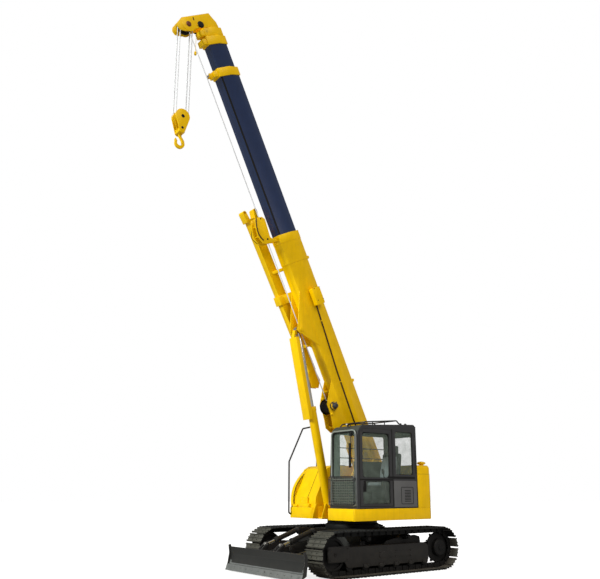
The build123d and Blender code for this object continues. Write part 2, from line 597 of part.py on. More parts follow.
# ================================================================ dozer blade
BLADE_TOP_Z = BLADE_EDGE_Z + BLADE_HEIGHT
with BuildPart() as dozer_blade:
    with BuildSketch(side_plane(0)):
        with BuildLine():
            face = ThreePointArc(
                (BLADE_FACE_X + 40, BLADE_EDGE_Z + 70),
                (BLADE_FACE_X + 40 - BLADE_CURVE, BLADE_EDGE_Z + BLADE_HEIGHT * 0.55),
                (BLADE_FACE_X + 15, BLADE_TOP_Z),
            )
            Line(face @ 1, (BLADE_FACE_X + 15 - BLADE_PLATE, BLADE_TOP_Z))
            back = ThreePointArc(
                (BLADE_FACE_X + 15 - BLADE_PLATE, BLADE_TOP_Z),
                (BLADE_FACE_X + 40 - BLADE_CURVE - BLADE_PLATE, BLADE_EDGE_Z + BLADE_HEIGHT * 0.55),
                (BLADE_FACE_X + 40 - BLADE_PLATE, BLADE_EDGE_Z + 70),
            )
            Line(back @ 1, face @ 0)
        make_face()
    extrude(amount=BLADE_WIDTH / 2, both=True)
    # cutting edge, bolted over the lower margin
    cutting_edge = [
        (BLADE_FACE_X + 75, BLADE_EDGE_Z),
        (BLADE_FACE_X + 90, BLADE_EDGE_Z + 6),
        (BLADE_FACE_X + 52, BLADE_EDGE_Z + CUTTING_EDGE_HEIGHT),
        (BLADE_FACE_X + 14, BLADE_EDGE_Z + CUTTING_EDGE_HEIGHT),
        (BLADE_FACE_X + 28, BLADE_EDGE_Z + 60),
    ]
    extrude(polygon(side_plane(0), cutting_edge), amount=BLADE_WIDTH / 2, both=True)
    # box beam behind the moldboard
    beam = [
        (BLADE_FACE_X + 10, BLADE_EDGE_Z + 100),
        (BLADE_FACE_X - 90, BLADE_EDGE_Z + 130),
        (BLADE_FACE_X - 90, BLADE_EDGE_Z + 300),
        (BLADE_FACE_X - 26, BLADE_EDGE_Z + 330),
    ]
    extrude(polygon(side_plane(0), beam), amount=BLADE_WIDTH / 2 - 90, both=True)
    for sign in SIDES.values():
        # end plates with a raised corner
        end_plate = [
            (BLADE_FACE_X + 60, BLADE_EDGE_Z + 40),
            (BLADE_FACE_X - 30, BLADE_EDGE_Z + 90),
            (BLADE_FACE_X - 60, BLADE_TOP_Z - 60),
            (BLADE_FACE_X - 10, BLADE_TOP_Z + 42),
            (BLADE_FACE_X + 30, BLADE_TOP_Z + 30),
            (BLADE_FACE_X + 10, BLADE_TOP_Z - 120),
        ]
        end_y = sign * (BLADE_WIDTH / 2 - BLADE_PLATE / 2)
        extrude(polygon(side_plane(end_y), end_plate), amount=BLADE_PLATE / 2, both=True)
        # push arms
        arm = [
            (pivot_x - 62, pivot_z),
            (pivot_x - 44, pivot_z + 44),
            (pivot_x, pivot_z + 62),
            (pivot_x + 300, pivot_z + 20),
            (BLADE_FACE_X - 60, BLADE_EDGE_Z + 300),
            (BLADE_FACE_X - 60, BLADE_EDGE_Z + 130),
            (pivot_x + 300, pivot_z - BLADE_ARM_DEPTH),
            (pivot_x, pivot_z - 62),
            (pivot_x - 44, pivot_z - 44),
        ]
        extrude(polygon(side_plane(sign * BLADE_ARM_Y), arm), amount=BLADE_ARM_WIDTH / 2, both=True)
        extrude(
            disc(side_plane(sign * BLADE_ARM_Y), BLADE_PIVOT, BLADE_PIN_RADIUS + PIN_GAP),
            amount=BLADE_ARM_WIDTH,
            both=True,
            mode=Mode.SUBTRACT,
        )
        # ears for the lift cylinder, with pin caps outside
        eye_x, eye_z = BLADE_CYLINDER_EYE
        lift_ear = [
            (eye_x - 46, eye_z + 20),
            (eye_x, eye_z + 46),
            (BLADE_FACE_X - 30, BLADE_TOP_Z - 20),
            (BLADE_FACE_X - 60, BLADE_EDGE_Z + 200),
            (eye_x - 20, eye_z - 60),
        ]
        ear_pair(sign * BLADE_CYLINDER_Y, BLADE_EYE_WIDTH + 12, lift_ear)
        for place in (-1, 1):
            cap_y = sign * BLADE_CYLINDER_Y + place * (BLADE_EYE_WIDTH / 2 + 6 + EAR_THICKNESS + 5)
            extrude(disc(side_plane(cap_y), BLADE_CYLINDER_EYE, BLADE_PIN_RADIUS), amount=6, both=True)
    # cross tube between the arms
    with BuildSketch(side_plane(0)):
        with Locations((pivot_x + 420, pivot_z - 70)):
            Circle(55)
    extrude(amount=BLADE_ARM_Y, both=True)
dozer_blade.part.label = "dozer_blade"
export_step(dozer_blade.part, "parts/dozer_blade.step")

LIFT_RUN = BLADE_CYLINDER_EYE[0] - BLADE_CYLINDER_FOOT[0]
LIFT_DROP = BLADE_CYLINDER_EYE[1] - BLADE_CYLINDER_FOOT[1]
LIFT_LENGTH = hypot(LIFT_RUN, LIFT_DROP)
LIFT_ANGLE = degrees(atan2(LIFT_DROP, LIFT_RUN))


def cylinder_plane(foot, angle, y):
    """Sketch plane along a cylinder: its x runs from the foot pin to the rod's eye."""
    lean = radians(angle)
    return Plane(origin=(foot[0], y, foot[1]), x_dir=(cos(lean), 0, sin(lean)), z_dir=(0, -1, 0))


def eye_outline(plane, centre, radius, neck_to, neck_half):
    """A rounded eye with a straight neck towards the tube it belongs to."""
    with BuildSketch(plane) as face:
        with Locations(centre):
            Circle(radius)
        with BuildLine():
            Polyline(
                (centre[0], -neck_half),
                (neck_to, -neck_half),
                (neck_to, neck_half),
                (centre[0], neck_half),
                close=True,
            )
        make_face()
    return face.sketch


for side, sign in SIDES.items():
    plane = cylinder_plane(BLADE_CYLINDER_FOOT, LIFT_ANGLE, sign * BLADE_CYLINDER_Y)
    along = Axis(plane.origin, plane.x_dir)
    with BuildPart() as blade_barrel:
        barrel = [
            (BLADE_NECK, 0),
            (BLADE_NECK, BLADE_BARREL_RADIUS),
            (BLADE_BARREL_LENGTH - 50, BLADE_BARREL_RADIUS),
            (BLADE_BARREL_LENGTH - 50, BLADE_BARREL_RADIUS + 7),
            (BLADE_BARREL_LENGTH, BLADE_BARREL_RADIUS + 7),
            (BLADE_BARREL_LENGTH, BLADE_ROD_RADIUS + PIN_GAP),
            (BLADE_NECK + 16, BLADE_ROD_RADIUS + PIN_GAP),
            (BLADE_NECK + 16, 0),
        ]
        revolve(polygon(plane, barrel), axis=along)
        extrude(
            eye_outline(plane, (0, 0), BLADE_EYE_RADIUS, BLADE_NECK + 1, 26),
            amount=BLADE_EYE_WIDTH / 2,
            both=True,
        )
        extrude(
            disc(plane, (0, 0), BLADE_PIN_RADIUS - 8 + PIN_GAP),
            amount=BLADE_EYE_WIDTH,
            both=True,
            mode=Mode.SUBTRACT,
        )
    blade_barrel.part.label = f"blade_barrel_{side}"
    export_step(blade_barrel.part, f"parts/blade_barrel_{side}.step")

    with BuildPart() as blade_rod:
        rod_start = LIFT_LENGTH - BLADE_ROD_LENGTH
        rod_end = LIFT_LENGTH - BLADE_EYE_RADIUS + 8
        rod = [(rod_start, 0), (rod_start, BLADE_ROD_RADIUS), (rod_end, BLADE_ROD_RADIUS), (rod_end, 0)]
        revolve(polygon(plane, rod), axis=along)
        extrude(disc(plane, (LIFT_LENGTH, 0), BLADE_EYE_RADIUS), amount=BLADE_EYE_WIDTH / 2, both=True)
        extrude(
            disc(plane, (LIFT_LENGTH, 0), BLADE_PIN_RADIUS - 8),
            amount=BLADE_EYE_WIDTH,
            both=True,
            mode=Mode.SUBTRACT,
        )
    blade_rod.part.label = f"blade_rod_{side}"
    export_step(blade_rod.part, f"parts/blade_rod_{side}.step")

# ================================================================ revolving frame
WEB_LEFT_Y = BOOM_Y + (WEB_GAP + WEB_THICKNESS) / 2
WEB_RIGHT_Y = BOOM_Y - (WEB_GAP + WEB_THICKNESS) / 2
DECK_LEFT_INNER = WEB_LEFT_Y + WEB_THICKNESS / 2
DECK_RIGHT_INNER = WEB_RIGHT_Y - WEB_THICKNESS / 2
foot_pin_x, foot_pin_z = BOOM_FOOT
web_outline = [
    (TAIL_FRONT_X, DECK_BOTTOM),
    (TAIL_FRONT_X, 1420),
    (foot_pin_x - WEB_TOP_RADIUS, foot_pin_z),
    (foot_pin_x + WEB_TOP_RADIUS, foot_pin_z),
    (120, 1330),
    (LUFF_FOOT[0] + 60, 1210),
    (CENTRE_FRONT_X, 1160),
    (CENTRE_FRONT_X, DECK_BOTTOM),
]
with BuildPart() as upper_frame:
    for web_y in (WEB_LEFT_Y, WEB_RIGHT_Y):
        extrude(polygon(side_plane(web_y), web_outline), amount=WEB_THICKNESS / 2, both=True)
        extrude(disc(side_plane(web_y), BOOM_FOOT, WEB_TOP_RADIUS), amount=WEB_THICKNESS / 2, both=True)
    # bottom plate between and under the webs, with the turntable's ring
    with BuildSketch(plan_plane(DECK_BOTTOM)):
        with BuildLine():
            Polyline(
                (TAIL_FRONT_X, WEB_RIGHT_Y),
                (TAIL_FRONT_X, WEB_LEFT_Y),
                (CENTRE_FRONT_X, WEB_LEFT_Y),
                (CENTRE_FRONT_X, WEB_RIGHT_Y),
                close=True,
            )
        make_face()
    extrude(amount=30)
    with BuildSketch(plan_plane(CARBODY_TOP + SLEW_RING_HEIGHT + SEAT_GAP)):
        Circle(TURNTABLE_RADIUS)
        Circle(SLEW_RING_BORE, mode=Mode.SUBTRACT)
    extrude(amount=DECK_BOTTOM - CARBODY_TOP - SLEW_RING_HEIGHT - SEAT_GAP)
    # ears and pin for the luffing cylinder's foot
    luff_ear = [
        (LUFF_FOOT[0] - 160, DECK_BOTTOM + 20),
        (LUFF_FOOT[0] - 64, LUFF_FOOT[1] + 44),
        (LUFF_FOOT[0], LUFF_FOOT[1] + 76),
        (LUFF_FOOT[0] + 62, LUFF_FOOT[1] + 38),
        (LUFF_FOOT[0] + 110, DECK_BOTTOM + 20),
    ]
    ear_pair(BOOM_Y, LUFF_EYE_WIDTH + 2 * SIDE_GAP, luff_ear)
    extrude(
        disc(side_plane(BOOM_Y), LUFF_FOOT, LUFF_PIN_RADIUS),
        amount=LUFF_EYE_WIDTH / 2 + SIDE_GAP + EAR_THICKNESS + 14,
        both=True,
    )
    # cross plates
    for cross_x in (TAIL_FRONT_X + 15, -120.0, LUFF_FOOT[0] - 150):
        with BuildSketch(plan_plane(DECK_BOTTOM)):
            with Locations((cross_x, BOOM_Y)):
                Rectangle(30, WEB_GAP + WEB_THICKNESS)
        extrude(amount=230)
    # boom foot pin with its caps
    extrude(
        disc(side_plane(BOOM_Y), BOOM_FOOT, FOOT_PIN_RADIUS),
        amount=WEB_GAP / 2 + WEB_THICKNESS,
        both=True,
    )
upper_frame.part.label = "upper_frame"
export_step(upper_frame.part, "parts/upper_frame.step")

# ---- side decks: floor plate with a deep skirt, open underneath
left_deck_outline = [
    (TAIL_FRONT_X, DECK_LEFT_INNER),
    (TAIL_FRONT_X, DECK_SIDE_Y),
    (DECK_FRONT_X, DECK_SIDE_Y),
    (DECK_FRONT_X, CAB_INNER_Y + 20),
    (CENTRE_FRONT_X, CAB_INNER_Y - 60),
    (CENTRE_FRONT_X, DECK_LEFT_INNER),
]
right_deck_outline = [
    (TAIL_FRONT_X, DECK_RIGHT_INNER),
    (CENTRE_FRONT_X, DECK_RIGHT_INNER),
    (RIGHT_FRONT_X, DECK_RIGHT_INNER - 60),
    (RIGHT_FRONT_X, -DECK_SIDE_Y + 80),
    (RIGHT_FRONT_X - 80, -DECK_SIDE_Y),
    (TAIL_FRONT_X, -DECK_SIDE_Y),
]
for side, outline in (("left", left_deck_outline), ("right", right_deck_outline)):
    with BuildPart() as deck:
        face = polygon(plan_plane(DECK_BOTTOM), outline)
        extrude(face, amount=DECK_TOP - DECK_BOTTOM)
        with BuildSketch(plan_plane(DECK_BOTTOM)):
            add(face)
            offset(amount=-DECK_PLATE, kind=Kind.INTERSECTION, mode=Mode.REPLACE)
        extrude(amount=DECK_TOP - DECK_BOTTOM - DECK_PLATE, mode=Mode.SUBTRACT)
    deck.part.label = f"{side}_deck"
    export_step(deck.part, f"parts/{side}_deck.step")

# ---- counterweight: the tail's round back, solid cast iron
HOOD_FRONT_X = TAIL_FRONT_X - HOOD_SETBACK
HINGE_X = TAIL_FRONT_X - HOOD_SETBACK / 2
HINGE_Z = HOOD_TOP - HINGE_RADIUS


def tail_face(z, radius, side_y, front_x):
    """Plan of the tail: the round back as far as its flanks and its front face."""
    length = radius + front_x
    with BuildSketch(plan_plane(z)) as face:
        Circle(radius)
        with Locations((front_x - (length + 2) / 2, 0)):
            Rectangle(length + 2, 2 * side_y, mode=Mode.INTERSECT)
    return face.sketch


UPPER_TAIL_RADIUS = TAIL_RADIUS - TAIL_STEP
UPPER_TAIL_SIDE_Y = DECK_SIDE_Y - TAIL_STEP
with BuildPart() as counterweight:
    extrude(
        tail_face(DECK_BOTTOM, TAIL_RADIUS, DECK_SIDE_Y, TAIL_FRONT_X),
        amount=TAIL_SKIRT_TOP - DECK_BOTTOM,
    )
    chamfer(counterweight.edges().group_by(Axis.Z)[0].filter_by(GeomType.CIRCLE), TAIL_CHAMFER)
    extrude(
        tail_face(TAIL_SKIRT_TOP, UPPER_TAIL_RADIUS, UPPER_TAIL_SIDE_Y, TAIL_FRONT_X),
        amount=COUNTERWEIGHT_TOP - TAIL_SKIRT_TOP,
    )
counterweight.part.label = "counterweight"
export_step(counterweight.part, "parts/counterweight.step")

# ---- engine hood over the tail, hinged along its front edge
HOOD_RADIUS = UPPER_TAIL_RADIUS - HOOD_PLATE
HOOD_SIDE_Y = UPPER_TAIL_SIDE_Y - HOOD_PLATE
HOOD_LIP = HOOD_ROUNDING - HOOD_PLATE
with BuildPart() as engine_hood:
    extrude(
        tail_face(COUNTERWEIGHT_TOP + SEAT_GAP, HOOD_RADIUS, HOOD_SIDE_Y, HOOD_FRONT_X),
        amount=HOOD_TOP - COUNTERWEIGHT_TOP - SEAT_GAP,
    )
    chamfer(engine_hood.edges().group_by(Axis.Z)[-1].filter_by(GeomType.CIRCLE), HOOD_ROUNDING)
    extrude(
        tail_face(
            COUNTERWEIGHT_TOP, HOOD_RADIUS - HOOD_LIP, HOOD_SIDE_Y - HOOD_PLATE, HOOD_FRONT_X - HOOD_PLATE
        ),
        amount=HOOD_TOP - COUNTERWEIGHT_TOP - HOOD_PLATE,
        mode=Mode.SUBTRACT,
    )
    for place in (-1, 1):
        knuckle_y = place * (HINGE_Y + HINGE_LENGTH / 2)
        extrude(
            disc(side_plane(knuckle_y), (HINGE_X, HINGE_Z), HINGE_RADIUS), amount=HINGE_LENGTH / 2, both=True
        )
        leaf = [
            (HOOD_FRONT_X - 2, HINGE_Z - 6),
            (HINGE_X, HINGE_Z - 6),
            (HINGE_X, HINGE_Z + 6),
            (HOOD_FRONT_X - 2, HINGE_Z + 6),
        ]
        extrude(polygon(side_plane(knuckle_y), leaf), amount=HINGE_LENGTH / 2 - 1, both=True)
engine_hood.part.label = "engine_hood"
export_step(engine_hood.part, "parts/engine_hood.step")

# ---- left housing behind the cab
HOUSING_REAR_X = TAIL_FRONT_X + SEAT_GAP
HOUSING_FRONT_X = CAB_REAR_X - 12


def hinge_leaf(knuckle_y):
    """Fixed half of a hood hinge: a knuckle on the axis and a leaf to the housing's rear face."""
    extrude(
        disc(side_plane(knuckle_y), (HINGE_X, HINGE_Z), HINGE_RADIUS), amount=HINGE_LENGTH / 2, both=True
    )
    leaf = [
        (HINGE_X, HINGE_Z - 6),
        (HOUSING_REAR_X + 2, HINGE_Z - 6),
        (HOUSING_REAR_X + 2, HINGE_Z + 6),
        (HINGE_X, HINGE_Z + 6),
    ]
    extrude(polygon(side_plane(knuckle_y), leaf), amount=HINGE_LENGTH / 2 - 1, both=True)


FIXED_KNUCKLE_Y = HINGE_Y + 1.5 * HINGE_LENGTH + SIDE_GAP
with BuildPart() as left_housing:
    housing_mid_x = (HOUSING_REAR_X + HOUSING_FRONT_X) / 2
    housing_mid_y = (DECK_LEFT_INNER + DECK_SIDE_Y) / 2
    with BuildSketch(plan_plane(DECK_TOP)):
        with Locations((housing_mid_x, housing_mid_y)):
            Rectangle(HOUSING_FRONT_X - HOUSING_REAR_X, DECK_SIDE_Y - DECK_LEFT_INNER)
    extrude(amount=HOOD_TOP - DECK_TOP)
    top_edges = left_housing.edges().group_by(Axis.Z)[-1]
    fillet(top_edges.filter_by(Axis.X).sort_by(Axis.Y)[-1], COVER_ROUNDING)
    with BuildSketch(plan_plane(DECK_TOP)):
        with Locations((housing_mid_x, housing_mid_y)):
            Rectangle(
                HOUSING_FRONT_X - HOUSING_REAR_X - 2 * HOUSING_PLATE,
                DECK_SIDE_Y - DECK_LEFT_INNER - 2 * HOUSING_PLATE,
            )
    extrude(amount=HOOD_TOP - DECK_TOP - COVER_ROUNDING, mode=Mode.SUBTRACT)
    hinge_leaf(FIXED_KNUCKLE_Y)
left_housing.part.label = "left_housing"
export_step(left_housing.part, "parts/left_housing.step")

# ---- right cover: one shell from the tail to the sloped front
toe_x, toe_z = COVER_TOE
brow_x, brow_z = COVER_BROW
crest_x, crest_z = COVER_CREST
cover_side = [
    (HOUSING_REAR_X, DECK_TOP),
    (HOUSING_REAR_X, HOOD_TOP),
    (COVER_REAR_LEVEL_X, COVER_TOP),
    COVER_CREST,
    COVER_BROW,
    COVER_TOE,
    (toe_x + 10, DECK_TOP),
]
COVER_WIDTH = DECK_SIDE_Y + DECK_RIGHT_INNER
COVER_Y = (-DECK_SIDE_Y + DECK_RIGHT_INNER) / 2
with BuildPart() as right_cover:
    extrude(polygon(side_plane(COVER_Y), cover_side), amount=COVER_WIDTH / 2, both=True)
    outer_face = right_cover.faces().sort_by(Axis.Y)[0]
    crown_edges = outer_face.edges().filter_by(lambda edge: edge.center().Z > toe_z)
    fillet(crown_edges.filter_by(lambda edge: edge.center().X > HOUSING_REAR_X + 1), COVER_ROUNDING)
    inner_side = [
        (HOUSING_REAR_X + HOUSING_PLATE, DECK_TOP),
        (HOUSING_REAR_X + HOUSING_PLATE, HOOD_TOP - COVER_ROUNDING),
        (crest_x - HOUSING_PLATE, crest_z - COVER_ROUNDING),
        (brow_x - 3 * HOUSING_PLATE, brow_z - COVER_ROUNDING),
        (toe_x - 3 * HOUSING_PLATE, toe_z - HOUSING_PLATE),
        (toe_x - 2 * HOUSING_PLATE, DECK_TOP),
    ]
    extrude(
        polygon(side_plane(COVER_Y), inner_side),
        amount=COVER_WIDTH / 2 - HOUSING_PLATE,
        both=True,
        mode=Mode.SUBTRACT,
    )
    hinge_leaf(-FIXED_KNUCKLE_Y)
right_cover.part.label = "right_cover"
export_step(right_cover.part, "parts/right_cover.step")

with BuildPart() as engine_block:
    with BuildSketch(plan_plane(DECK_TOP)):
        with Locations((-640, COVER_Y)):
            Rectangle(760, 620)
    extrude(amount=600)
    chamfer(engine_block.edges().group_by(Axis.Z)[-1], 60)
engine_block.part.label = "engine_block"
export_step(engine_block.part, "parts/engine_block.step")

# ---- guard rail on the right deck
RAIL_Y = -DECK_SIDE_Y + 110
RAIL_FOOT_Z = DECK_BOTTOM + 80
RAIL_FRONT_X = RIGHT_FRONT_X + 60
RAIL_REAR_X = 60.0
RAIL_CORNERS = (
    (RIGHT_FRONT_X, RAIL_FOOT_Z),
    (RAIL_FRONT_X, RAIL_FOOT_Z),
    (RAIL_FRONT_X, RAIL_FOOT_Z + 1080),
    (RAIL_FRONT_X - 370, RAIL_FOOT_Z + 1800),
    (RAIL_REAR_X + 70, RAIL_FOOT_Z + 1870),
    (RAIL_REAR_X, RAIL_FOOT_Z + 1640),
    (RAIL_REAR_X, COVER_TOP),
)
with BuildPart() as handrail:
    with BuildLine() as rail_path:
        FilletPolyline(*[(x, RAIL_Y, z) for x, z in RAIL_CORNERS], radius=RAIL_BEND)
    with BuildSketch(Plane(origin=rail_path.line @ 0, z_dir=rail_path.line % 0)):
        Circle(RAIL_RADIUS)
    sweep()
handrail.part.label = "handrail"
export_step(handrail.part, "parts/handrail.step")

# ================================================================ cab
DOOR_SILL = DECK_TOP + DOOR_SILL_RISE
cab_mid_y = (CAB_INNER_Y + CAB_OUTER_Y) / 2
cab_half = (CAB_OUTER_Y - CAB_INNER_Y) / 2


def cab_side_face(plane, inset):
    """Side view of the cab: upright back, raked windscreen and a rounded brow."""
    rear = CAB_REAR_X + inset
    front = CAB_FRONT_X - inset
    top = CAB_TOP - inset
    lean_front = front - CAB_FRONT_LEAN
    with BuildSketch(plane) as face:
        with BuildLine():
            FilletPolyline(
                (rear, DECK_TOP + inset),
                (rear, top),
                (lean_front, top - CAB_ROOF_FALL),
                (front, BELT_Z),
                (front, DECK_TOP + inset),
                radius=[CAB_REAR_RADIUS - inset, CAB_BROW_RADIUS - inset, CAB_WAIST_RADIUS],
            )
            Line((front, DECK_TOP + inset), (rear, DECK_TOP + inset))
        make_face()
    return face.sketch


def window(plane, centre, size, corner):
    """Rounded window outline on a plane."""
    with BuildSketch(plane) as face:
        with Locations(centre):
            RectangleRounded(size[0], size[1], corner)
    return face.sketch


def door_face(plane, inset):
    """Doorway outline, or the door's own when inset: it stands on the sill and follows the brow."""
    rear = DOOR_REAR_X + inset
    front = DOOR_FRONT_X - inset
    top = DOOR_TOP - inset
    with BuildSketch(plane) as face:
        with BuildLine():
            FilletPolyline(
                (rear, DOOR_SILL),
                (rear, top),
                (front, top),
                (front, DOOR_SILL),
                radius=[
                    DOOR_CORNER_RADIUS - inset,
                    DOOR_CORNER_RADIUS - inset,
                    DOOR_BROW_RADIUS - inset,
                    DOOR_CORNER_RADIUS - inset,
                ],
                close=True,
            )
        make_face()
    return face.sketch


def opening(low, high, start, end):
    """Window as its centre along the wall, centre height, length and height."""
    return ((start + end) / 2, (low + high) / 2, end - start, high - low)


REAR_WALL_PLANE = Plane(origin=(CAB_REAR_X, 0, 0), x_dir=(0, 1, 0), z_dir=(1, 0, 0))
FRONT_WALL_PLANE = Plane(origin=(CAB_FRONT_X - CAB_WALL - 60, 0, 0), x_dir=(0, 1, 0), z_dir=(1, 0, 0))
CAB_POST = 70.0               # from the cab's sides to the windscreen
FRONT_WINDOWS = (
    opening(BELT_Z + BELT_HALF, WINDOW_TOP, CAB_INNER_Y + CAB_POST, CAB_OUTER_Y - CAB_POST),
    opening(WINDOW_BOTTOM, BELT_Z - BELT_HALF, CAB_INNER_Y + CAB_POST, CAB_OUTER_Y - CAB_POST),
)
REAR_WINDOW = opening(1840, WINDOW_TOP - 40, CAB_INNER_Y + 90, CAB_OUTER_Y - 90)
SIDE_REAR_WINDOW = opening(1835, WINDOW_TOP + 40, CAB_REAR_X + 100, DOOR_REAR_X - 90)
INNER_SIDE_WINDOW = opening(1770, WINDOW_TOP - 15, CAB_REAR_X + 140, CAB_FRONT_X - 225)
DOOR_WINDOWS = (
    opening(BELT_Z + BELT_HALF, DOOR_TOP - DOOR_STILE, DOOR_REAR_X + DOOR_STILE, DOOR_FRONT_X - DOOR_STILE),
    opening(WINDOW_BOTTOM, BELT_Z - BELT_HALF, DOOR_REAR_X + DOOR_STILE, DOOR_FRONT_X - DOOR_STILE),
)
OUTER_WALL_Y = CAB_OUTER_Y - CAB_WALL / 2
INNER_WALL_Y = CAB_INNER_Y + CAB_WALL / 2

with BuildPart() as cab_shell:
    extrude(cab_side_face(side_plane(cab_mid_y), 0), amount=cab_half, both=True)
    extrude(
        cab_side_face(side_plane(cab_mid_y), CAB_WALL), amount=cab_half - CAB_WALL, both=True,
        mode=Mode.SUBTRACT,
    )
    # doorway
    extrude(door_face(side_plane(OUTER_WALL_Y), 0), amount=CAB_WALL, both=True, mode=Mode.SUBTRACT)
    for wall_y, (x, z, length, height) in (
        (OUTER_WALL_Y, SIDE_REAR_WINDOW),
        (INNER_WALL_Y, INNER_SIDE_WINDOW),
    ):
        extrude(
            window(side_plane(wall_y), (x, z), (length, height), WINDOW_CORNER),
            amount=CAB_WALL,
            both=True,
            mode=Mode.SUBTRACT,
        )
    for y, z, length, height in FRONT_WINDOWS:
        extrude(
            window(FRONT_WALL_PLANE, (y, z), (length, height), WINDOW_CORNER),
            amount=CAB_WALL + 200,
            mode=Mode.SUBTRACT,
        )
    y, z, length, height = REAR_WINDOW
    extrude(
        window(REAR_WALL_PLANE, (y, z), (length, height), WINDOW_CORNER),
        amount=CAB_WALL,
        both=True,
        mode=Mode.SUBTRACT,
    )
cab_shell.part.label = "cab_shell"
export_step(cab_shell.part, "parts/cab_shell.step")

with BuildPart() as cab_door:
    extrude(door_face(side_plane(OUTER_WALL_Y), DOOR_GAP), amount=CAB_WALL / 2, both=True)
    for x, z, length, height in DOOR_WINDOWS:
        extrude(
            window(side_plane(OUTER_WALL_Y), (x, z), (length, height), WINDOW_CORNER),
            amount=CAB_WALL,
            both=True,
            mode=Mode.SUBTRACT,
        )
cab_door.part.label = "cab_door"
export_step(cab_door.part, "parts/cab_door.step")

with BuildPart() as cab_glass:
    outer_panes = [(OUTER_WALL_Y, pane) for pane in (SIDE_REAR_WINDOW, *DOOR_WINDOWS)]
    outer_panes.append((INNER_WALL_Y, INNER_SIDE_WINDOW))
    for wall_y, (x, z, length, height) in outer_panes:
        extrude(
            window(
                side_plane(wall_y),
                (x, z),
                (length - 2 * GLASS_GAP, height - 2 * GLASS_GAP),
                WINDOW_CORNER - GLASS_GAP,
            ),
            amount=GLASS_THICKNESS / 2,
            both=True,
        )
    for y, z, length, height in FRONT_WINDOWS:
        lean = CAB_FRONT_LEAN if z > BELT_Z else 0.0
        pane_plane = Plane(
            origin=(CAB_FRONT_X - CAB_WALL / 2 - lean / 2, y, z), x_dir=(0, 1, 0),
            z_dir=(CAB_TOP - BELT_Z, 0, lean),
        )
        extrude(
            window(
                pane_plane, (0, 0), (length - 2 * GLASS_GAP, height - 2 * GLASS_GAP), WINDOW_CORNER - GLASS_GAP
            ),
            amount=GLASS_THICKNESS / 2,
            both=True,
        )
    y, z, length, height = REAR_WINDOW
    extrude(
        window(
            REAR_WALL_PLANE.offset(CAB_WALL / 2),
            (y, z),
            (length - 2 * GLASS_GAP, height - 2 * GLASS_GAP),
            WINDOW_CORNER - GLASS_GAP,
        ),
        amount=GLASS_THICKNESS / 2,
        both=True,
    )
cab_glass.part.label = "cab_glass"
export_step(cab_glass.part, "parts/cab_glass.step")

FLOOR_Z = DECK_TOP + CAB_WALL


def rounded_side(plane, corners, radius):
    """Side profile with all its corners rounded alike."""
    with BuildSketch(plane) as face:
        with BuildLine():
            FilletPolyline(*corners, radius=radius, close=True)
        make_face()
    return face.sketch


CUSHION_TOP = FLOOR_Z + SEAT_HEIGHT
cushion_side = [
    (-380, CUSHION_TOP - 130),
    (70, CUSHION_TOP - 130),
    (110, CUSHION_TOP),
    (-340, CUSHION_TOP - 20),
]
backrest_side = [
    (-380, CUSHION_TOP - 110),
    (-270, CUSHION_TOP - 60),
    (-360, CUSHION_TOP + SEAT_BACK_HEIGHT),
    (-470, CUSHION_TOP + SEAT_BACK_HEIGHT - 10),
]
headrest_side = [
    (-460, CUSHION_TOP + SEAT_BACK_HEIGHT - 25),
    (-370, CUSHION_TOP + SEAT_BACK_HEIGHT - 25),
    (-385, CUSHION_TOP + SEAT_BACK_HEIGHT + 150),
    (-470, CUSHION_TOP + SEAT_BACK_HEIGHT + 150),
]
with BuildPart() as operator_seat:
    # suspension box with the cushion, backrest and headrest on it
    with BuildSketch(plan_plane(FLOOR_Z)):
        with Locations((-150, cab_mid_y)):
            Rectangle(340, 0.75 * SEAT_WIDTH)
    extrude(amount=SEAT_HEIGHT - 129)
    extrude(rounded_side(side_plane(cab_mid_y), cushion_side, 30), amount=SEAT_WIDTH / 2, both=True)
    extrude(rounded_side(side_plane(cab_mid_y), backrest_side, 40), amount=0.45 * SEAT_WIDTH, both=True)
    extrude(rounded_side(side_plane(cab_mid_y), headrest_side, 30), amount=0.28 * SEAT_WIDTH, both=True)
operator_seat.part.label = "operator_seat"
export_step(operator_seat.part, "parts/operator_seat.step")

CONSOLE_TOP = FLOOR_Z + 520
FRONT_CONSOLE_X = 600.0
console_side = [
    (-230, FLOOR_Z),
    (100, FLOOR_Z),
    (170, CONSOLE_TOP - 90),
    (150, CONSOLE_TOP),
    (-250, CONSOLE_TOP - 30),
    (-250, CONSOLE_TOP - 150),
]
front_console_side = [
    (FRONT_CONSOLE_X - 60, FLOOR_Z),
    (FRONT_CONSOLE_X + 80, FLOOR_Z),
    (FRONT_CONSOLE_X + 60, FLOOR_Z + 400),
    (FRONT_CONSOLE_X, FLOOR_Z + 480),
    (FRONT_CONSOLE_X - 80, FLOOR_Z + 440),
]
LEVER_RADIUS = 11.0
LEVER_KNOB_RADIUS = 24.0
with BuildPart() as control_console:
    for place in (-1, 1):
        console_y = cab_mid_y + place * CONSOLE_SPREAD / 2
        extrude(polygon(side_plane(console_y), console_side), amount=CONSOLE_WIDTH / 2, both=True)
        # joystick on the console's front end
        stick_plane = Plane(origin=(110, console_y, CONSOLE_TOP - 20), z_dir=(0.2, 0, 1))
        extrude(disc(stick_plane, (0, 0), LEVER_RADIUS), amount=140)
        extrude(disc(stick_plane.offset(110), (0, 0), LEVER_KNOB_RADIUS), amount=90)
    extrude(polygon(side_plane(cab_mid_y), front_console_side), amount=1.6 * CONSOLE_WIDTH, both=True)
    # travel levers
    for place in (-1, 1):
        lever_plane = Plane(
            origin=(FRONT_CONSOLE_X - 30, cab_mid_y + place * CONSOLE_WIDTH, FLOOR_Z + 440), z_dir=(-0.35, 0, 1)
        )
        extrude(disc(lever_plane, (0, 0), LEVER_RADIUS), amount=300)
control_console.part.label = "control_console"
export_step(control_console.part, "parts/control_console.step")

